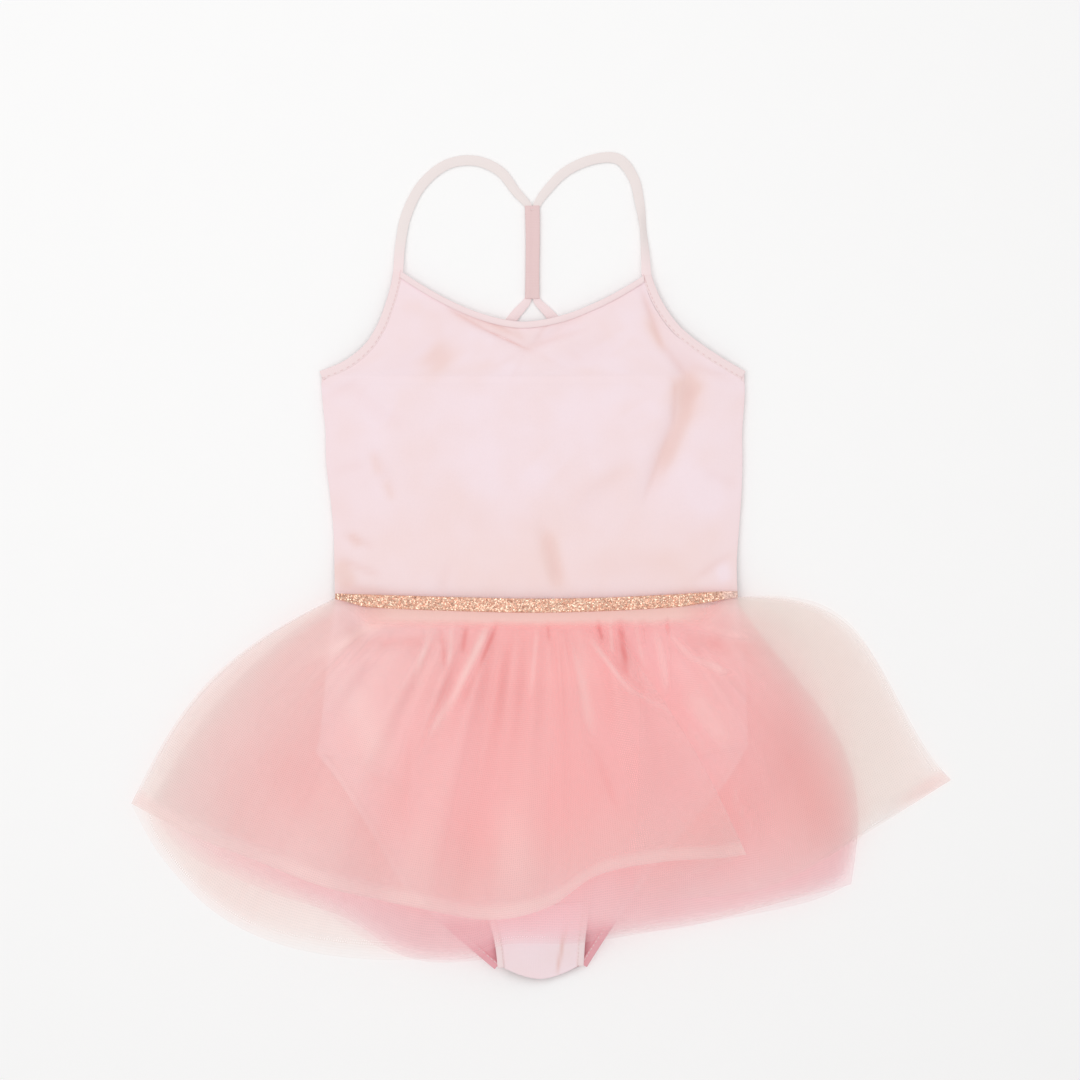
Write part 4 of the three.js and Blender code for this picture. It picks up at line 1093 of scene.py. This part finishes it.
class LeotardColours(bpy.types.PropertyGroup):
    # The jersey lit and cool, and shaded and warm, mixed by painted shade and highlight and by random tone
    jersey_lit_and_cool: colour("jersey's cooler parts", (252, 233, 239))
    jersey_shaded_and_warm: colour("jersey's warmer parts", (249, 222, 219))
    # Painted shade of the jersey in its creases and between its stitches
    crease: colour("creases", (236, 194, 187))
    # The inside's painted shade at the crotch, and the leg binding's painted shadow on it
    inside: colour("jersey's inside at the crotch", (236, 172, 180))
    inside_binding_shadow: colour("inside beside the gusset", (176, 96, 104))
    tape: colour("bindings", (249, 229, 230))
    # Painted shade between the bindings' ribs
    tape_shaded: colour("gaps between the bindings' ribs", (242, 219, 220))
    strap: colour("shoulder straps", (244, 234, 232))
    # Painted shade between the straps' ribs
    strap_shaded: colour("gaps between the straps' ribs", (238, 226, 224))
    doubled: colour("doubled strap", (238, 211, 211))
    # Painted shade between the doubled strap's ribs
    doubled_shaded: colour("gaps between the doubled strap's ribs", (227, 192, 191))
    thread: colour("stitching", (236, 204, 204))
    glitter_dark: colour("darker glitter", (213, 151, 127))
    glitter_light: colour("lighter glitter", (231, 177, 153))
    # Paler glitter at the ribbon's right end
    glitter_pale: colour("ribbon's worn end", (246, 212, 200))
    # Painted glints of the glitter
    glitter_glint: colour("brightest glitter", (255, 230, 206))
    pale_net: colour("outer tulle", (251, 200, 198))
    pale_edge: colour("outer tulle where it is thin", (237, 222, 215))
    pink_net: colour("inner tulle", (250, 186, 186))
    pink_edge: colour("inner tulle where it is thin", (246, 210, 217))
    # The tulle's painted shade in its slits and painted highlight on its ridges
    net_slit_shade: colour("tulle in its slits", (240, 148, 147))
    net_ridge_highlight: colour("tulle on its ridges", (255, 220, 216))
    band: colour("band under the ribbon", (245, 203, 194))
    surface: colour("surface below", (255, 255, 255))


class LEOTARD_OT_finishes(bpy.types.Operator):
    """Make the leotard's cloths"""
    bl_idname = "leotard.finishes"
    bl_label = "Cloths and colours"

    def execute(self, context):
        sizes, colours = context.scene.leotard_sizes, context.scene.leotard_colours
        for make in (jersey_finish, glitter_finish, flake_finish, thread_finish, band_finish, floor_finish):
            make(colours, sizes)
        tape_finish("elastic tape", colours.tape, colours.tape_shaded, colours.inside, sizes)
        tape_finish("strap tape", colours.strap, colours.strap_shaded, colours.inside, sizes, colours.tape)
        tape_finish("doubled tape", colours.doubled, colours.doubled_shaded, colours.inside, sizes)
        net_finish("pale tulle", colours.pale_net, colours.pale_edge, PALE_CLOSENESS, colours, sizes)
        net_finish("pink tulle", colours.pink_net, colours.pink_edge, PINK_CLOSENESS, colours, sizes)
        return {"FINISHED"}


class LEOTARD_OT_panels(bpy.types.Operator):
    """Lay out the jersey panels of the bodice and the brief"""
    bl_idname = "leotard.panels"
    bl_label = "Jersey panels"

    def execute(self, context):
        for name, (columns, sections, height, spread, cut) in panel_sections().items():
            total = sum(steps for _, steps, _ in sections)
            surface = panel_surface(sections, total, height, spread)
            mesh = cloth_grid(columns, total, surface, cut, JERSEY_PAINT.get(name, plain_jersey))
            piece = to_object(name + "_cloth", mesh, "jersey")
            thicken(piece, JERSEY)
            piece.visible_shadow = not name.startswith("brief")
            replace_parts(piece, name)
        return {"FINISHED"}


# Columns and rows of a binding, columns of a strap, and the strap's width in its weave
BINDING_GRID = (6, 96)
STRAP_COLUMN_COUNT = 12
STRAP_WIDTH = 6.4


class LEOTARD_OT_bindings(bpy.types.Operator):
    """Bind the neckline, the armholes, the leg openings and the back's top edge"""
    bl_idname = "leotard.bindings"
    bl_label = "Bindings"

    def execute(self, context):
        def neck(u, v):
            x = lerp(CORNERS.left(0).x - NECK_OVERLAP, CORNERS.right(0).x + NECK_OVERLAP, 1 - v)
            y = neck_y(1 - v) - (1 - u) * NECK_BINDING
            return x, y, front_height(x, y)

        def back(u, v):
            x = lerp(SIDES["left"][0], SIDES["right"][0], 1 - v)
            y = lerp(SIDES["y"][0] - UNDER_BINDING, BACK_TOP_Y, u) + back_rise(1 - v)
            return x, y, back_height(x, y)

        # Each binding's surface, width, length, and where its row of stitches runs across it
        made = {"neck_binding": (neck, NECK_BINDING, 172, 0.3), "back_binding": (back, BINDING, 285, 0.2)}
        pairs = (
            ("armhole_binding", ARMHOLES, BINDING, front_height, 85),
            ("leg_binding_front", FRONT_LEGS, LEG_BINDING, front_height, 190),
            ("leg_binding_back", BACK_LEGS, LEG_BINDING, back_height, 190))
        for side, sign, inner in (("left", -1, 0.8), ("right", 1, 0.2)):
            for name, rows, width, height, length in pairs:
                made[f"{name}_{side}"] = (binding_surface(rows, sign, width, height), width, length, inner)
        for name, (surface, width, length, sewn_at) in made.items():
            top = tape_top(surface, NECK_LIFT if name == "neck_binding" else BINDING_LIFT)
            # The back leg bindings take the inside's painted shade at the crotch
            paint = shaded_inside if name.startswith("leg_binding_back") else plain_jersey
            piece = tape(name + "_tape", top, *BINDING_GRID, (width, length), paint)
            piece.visible_shadow = not name.startswith("leg")
            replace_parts(piece, name)
            stitches(name + "_stitches", top, length, sewn_at)
        return {"FINISHED"}


def strap_paint(u, v, x, y):
    """A strap's foot takes the colour of the binding that it grows out of."""
    return 0.0, 0.0, 1 - smoothstep(v, 0.0, 0.16)


class LEOTARD_OT_straps(bpy.types.Operator):
    """Lay out the shoulder straps and the doubled strap at the back"""
    bl_idname = "leotard.straps"
    bl_label = "Straps"

    def execute(self, context):
        for name, rows in STRAPS.items():
            points = list(zip(rows["x"], rows["y"]))
            length = sum(math.dist(*pair) for pair in zip(points, points[1:]))
            top = tape_top(strap_surface(rows), STRAP_LIFT.get(name, 0.0), name == "centre_strap")
            kind = name.split("_")[0]
            finish = {"strap": "strap tape", "centre": "doubled tape"}.get(kind, "elastic tape")
            grid = (STRAP_COLUMN_COUNT, max(STRAP_COLUMN_COUNT, int(length)))
            piece = tape(name + "_tape", top, *grid, (STRAP_WIDTH, length), strap_paint, finish)
            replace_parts(piece, name)
        return {"FINISHED"}


# Each layer of the skirt: its lines, its small and broad gathers and where they start, its fine pleats, and
# the columns and rows of its grid.
NETS = {
    "top_tulle_back": (TOP_BACK, (8, 5, 0.2), 19, (260, 56)),
    "under_tulle_back": (UNDER_BACK, (7, 4, 0.6), 21, (240, 48)),
    "under_tulle_front": (UNDER_FRONT, (9, 5, 0.1), 23, (280, 52)),
    "top_tulle_front": (TOP_FRONT, (12, 6, 0.4), 26, (380, 120)),
}


class LEOTARD_OT_skirt(bpy.types.Operator):
    """Gather the four layers of tulle"""
    bl_idname = "leotard.skirt"
    bl_label = "Tulle skirt"

    def execute(self, context):
        for number, (name, (rows, folds, pleats, grid)) in enumerate(NETS.items()):
            tone = "pale" if name.startswith("top") else "pink"
            surface, paint = skirt_layer(rows, name.replace("_tulle", ""), folds, pleats, number * 10.3)
            mesh = cloth_grid(*grid, surface, (0, SKIRT_LENGTH), paint, woven(surface, grid[0]))
            piece = to_object(name + "_net", mesh, f"{tone} tulle")
            piece.visible_shadow = False
            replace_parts(piece, name)
        return {"FINISHED"}


RIBBON_ENDS = (-131.5, 125)
BAND_ENDS = (-126, 119)


def on_top(x):
    return LAYERS["top_front"][0](x, seam_line(x)) + TULLE + RIBBON_GAP


def ribbon_surface(height):
    """The glitter ribbon over the waist."""
    def surface(u, v):
        x = lerp(*RIBBON_ENDS, u)
        return x, lerp(along(RIBBON, "x", "top", x), along(RIBBON, "x", "bottom", x), v), height(x)
    return surface


BAND_BELOW = 5.0
BAND_OVERLAP = 0.8


def band_surface(height):
    """The smooth band below the ribbon, a thin sheet that comes down onto the gathers."""
    def surface(u, v):
        x = lerp(*BAND_ENDS, u)
        top, bottom = along(RIBBON, "x", "bottom", x) + BAND_OVERLAP, gather_line(x) - BAND_BELOW
        return x, lerp(top, bottom, v), height(x) + lerp(RIBBON_CLOTH * 0.6, 0.3, v)
    return surface


def band_paint(u, v, x, y):
    """The band gets paler down the skirt, and its lower edge follows the gathers that it thins out on."""
    ends = smoothstep(min(u, 1 - u), 0, 0.14)
    fold = net_fold(x, min(y, GATHER_Y))
    ripple = 0.15 * noise.noise(Vector((x / 9, 1.7, 0.2))) - 0.6 * fold
    lower = 0.36 + 0.2 * ripple
    return clamp(v * 0.8), 0.92 * ends * (1 - smoothstep(v, lower, lower + 0.5)), 0.0


FLAKE_COUNT = 1500
FLAKE_SEED = 4
FLAKE_LEAN = 0.45
FLAKE_LIFT = 0.12


def flakes(name, height):
    """Loose flakes of glitter that lie at all angles on the ribbon."""
    chance = random.Random(FLAKE_SEED)
    mesh = bmesh.new()
    surface = ribbon_surface(height)
    radius = bpy.context.scene.leotard_sizes.flake * MM / 2
    for _ in range(FLAKE_COUNT):
        u, v = chance.uniform(0.004, 0.965), chance.uniform(0.06, 0.94)
        x, y, z = surface(u, v)
        lean = chance.uniform(0, FLAKE_LEAN)
        axis = Vector((chance.uniform(-1, 1), chance.uniform(-1, 1), 0.01))
        turn = Matrix.Rotation(chance.uniform(0, math.tau), 4, "Z")
        spot = Matrix.Translation(place(x, y, z + RIBBON_CLOTH + FLAKE_LIFT + chance.uniform(0, 0.16)))
        bmesh.ops.create_circle(
            mesh, cap_ends=True, segments=6, radius=radius * chance.uniform(0.6, 1.15),
            matrix=spot @ Matrix.Rotation(lean, 4, axis) @ turn)
    piece = to_object(name, mesh, "glitter flakes")
    for polygon in piece.data.polygons:
        polygon.use_smooth = False
    return piece


def ribbon_paint(u, v, x, y):
    """The ribbon's glitter is paler at its right end."""
    return 0.0, smoothstep(x, 108, 122), 0.0


class LEOTARD_OT_waist(bpy.types.Operator):
    """Sew the glitter ribbon and the smooth band over the waist"""
    bl_idname = "leotard.waist"
    bl_label = "Ribbon and band"

    def execute(self, context):
        for side, height in (("front", on_top), ("back", lambda x: 0.0)):
            mesh = cloth_grid(160, 8, ribbon_surface(height), (256, 10), ribbon_paint)
            ribbon = to_object(f"waist_ribbon_{side}_cloth", mesh, "glitter")
            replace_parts(thicken(ribbon, RIBBON_CLOTH, edge=0.25), f"waist_ribbon_{side}")
            mesh = cloth_grid(240, 20, band_surface(height), (230, 15), band_paint)
            band = to_object(f"skirt_band_{side}_cloth", mesh, "band")
            band.visible_shadow = False
            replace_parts(band, f"skirt_band_{side}")
        flakes("ribbon_flakes_front", on_top)
        return {"FINISHED"}


class LEOTARD_OT_cut(bpy.types.Operator):
    """An empty step: each cloth's cut only sizes its weave where the cloth is made."""
    bl_idname = "leotard.cut"
    bl_label = "Cuts"

    def execute(self, context):
        return {"FINISHED"}


SURFACE_DROP = 0.0004
LIGHT_PLACE = Vector((-0.25, 0.35, 1.8))
LIGHT_WIDTH = 2.0
ROOM_TINT = (1.0, 0.995, 0.99, 1)
# The camera's height and what it sees across at the surface, in metres, and the middle of its view
CAMERA_HEIGHT = 3.2
CAMERA_SEES = 0.6912
CAMERA_SENSOR = 36
VIEW_MIDDLE = (-0.96, 16.32, 0)


class LEOTARD_OT_stage(bpy.types.Operator):
    """Set up the pale surface, the soft light and the camera straight above"""
    bl_idname = "leotard.stage"
    bl_label = "Surface, light and camera"

    def execute(self, context):
        scene = context.scene
        sizes = scene.leotard_sizes
        mesh = bmesh.new()
        bmesh.ops.create_grid(mesh, x_segments=1, y_segments=1, size=3.0)
        bmesh.ops.translate(mesh, vec=(0, 0, -SURFACE_DROP), verts=mesh.verts)
        data = bpy.data.meshes.new("surface_below")
        mesh.to_mesh(data)
        mesh.free()
        data.materials.append(FINISHES["pale surface"])
        surface = bpy.data.objects.new("surface_below", data)
        scene.collection.objects.link(surface)

        lamp = bpy.data.lights.new("soft light", "AREA")
        lamp.energy = sizes.light
        lamp.size = LIGHT_WIDTH
        light = bpy.data.objects.new("soft light", lamp)
        light.location = LIGHT_PLACE
        light.rotation_euler = (-LIGHT_PLACE).to_track_quat("-Z", "Y").to_euler()
        scene.collection.objects.link(light)
        world = bpy.data.worlds.new("soft room")
        world.use_nodes = True
        background = world.node_tree.nodes["Background"]
        background.inputs["Color"].default_value = ROOM_TINT
        background.inputs["Strength"].default_value = sizes.ambient
        scene.world = world

        camera = bpy.data.objects.new("camera", bpy.data.cameras.new("camera"))
        camera.data.sensor_width = CAMERA_SENSOR
        camera.data.lens = CAMERA_SENSOR * CAMERA_HEIGHT / CAMERA_SEES
        camera.data.clip_end = 20
        middle = place(*VIEW_MIDDLE)
        camera.location = (middle.x, middle.y, CAMERA_HEIGHT)
        scene.collection.objects.link(camera)
        scene.camera = camera
        scene.view_settings.view_transform = "Standard"
        return {"FINISHED"}


OPERATORS = (
    LEOTARD_OT_finishes, LEOTARD_OT_panels, LEOTARD_OT_bindings, LEOTARD_OT_straps, LEOTARD_OT_skirt,
    LEOTARD_OT_waist, LEOTARD_OT_stage, LEOTARD_OT_cut,
)


class LEOTARD_PT_panel(bpy.types.Panel):
    """The leotard's pieces, sizes and colours"""
    bl_label = "Leotard"
    bl_space_type = "VIEW_3D"
    bl_region_type = "UI"
    bl_category = "Leotard"

    def draw(self, context):
        column = self.layout.column()
        for operator in OPERATORS:
            column.operator(operator.bl_idname)
        for group in (context.scene.leotard_sizes, context.scene.leotard_colours):
            for name in group.__annotations__:
                column.prop(group, name)


CLASSES = (LeotardSizes, LeotardColours, *OPERATORS, LEOTARD_PT_panel)


def register():
    for each in CLASSES:
        bpy.utils.register_class(each)
    bpy.types.Scene.leotard_sizes = PointerProperty(type=LeotardSizes)
    bpy.types.Scene.leotard_colours = PointerProperty(type=LeotardColours)


def unregister():
    del bpy.types.Scene.leotard_sizes
    del bpy.types.Scene.leotard_colours
    for each in reversed(CLASSES):
        bpy.utils.unregister_class(each)


def main():
    register()
    for operator in OPERATORS:
        getattr(bpy.ops.leotard, operator.bl_idname.split(".")[1])()


if __name__ == "__main__":
    main()
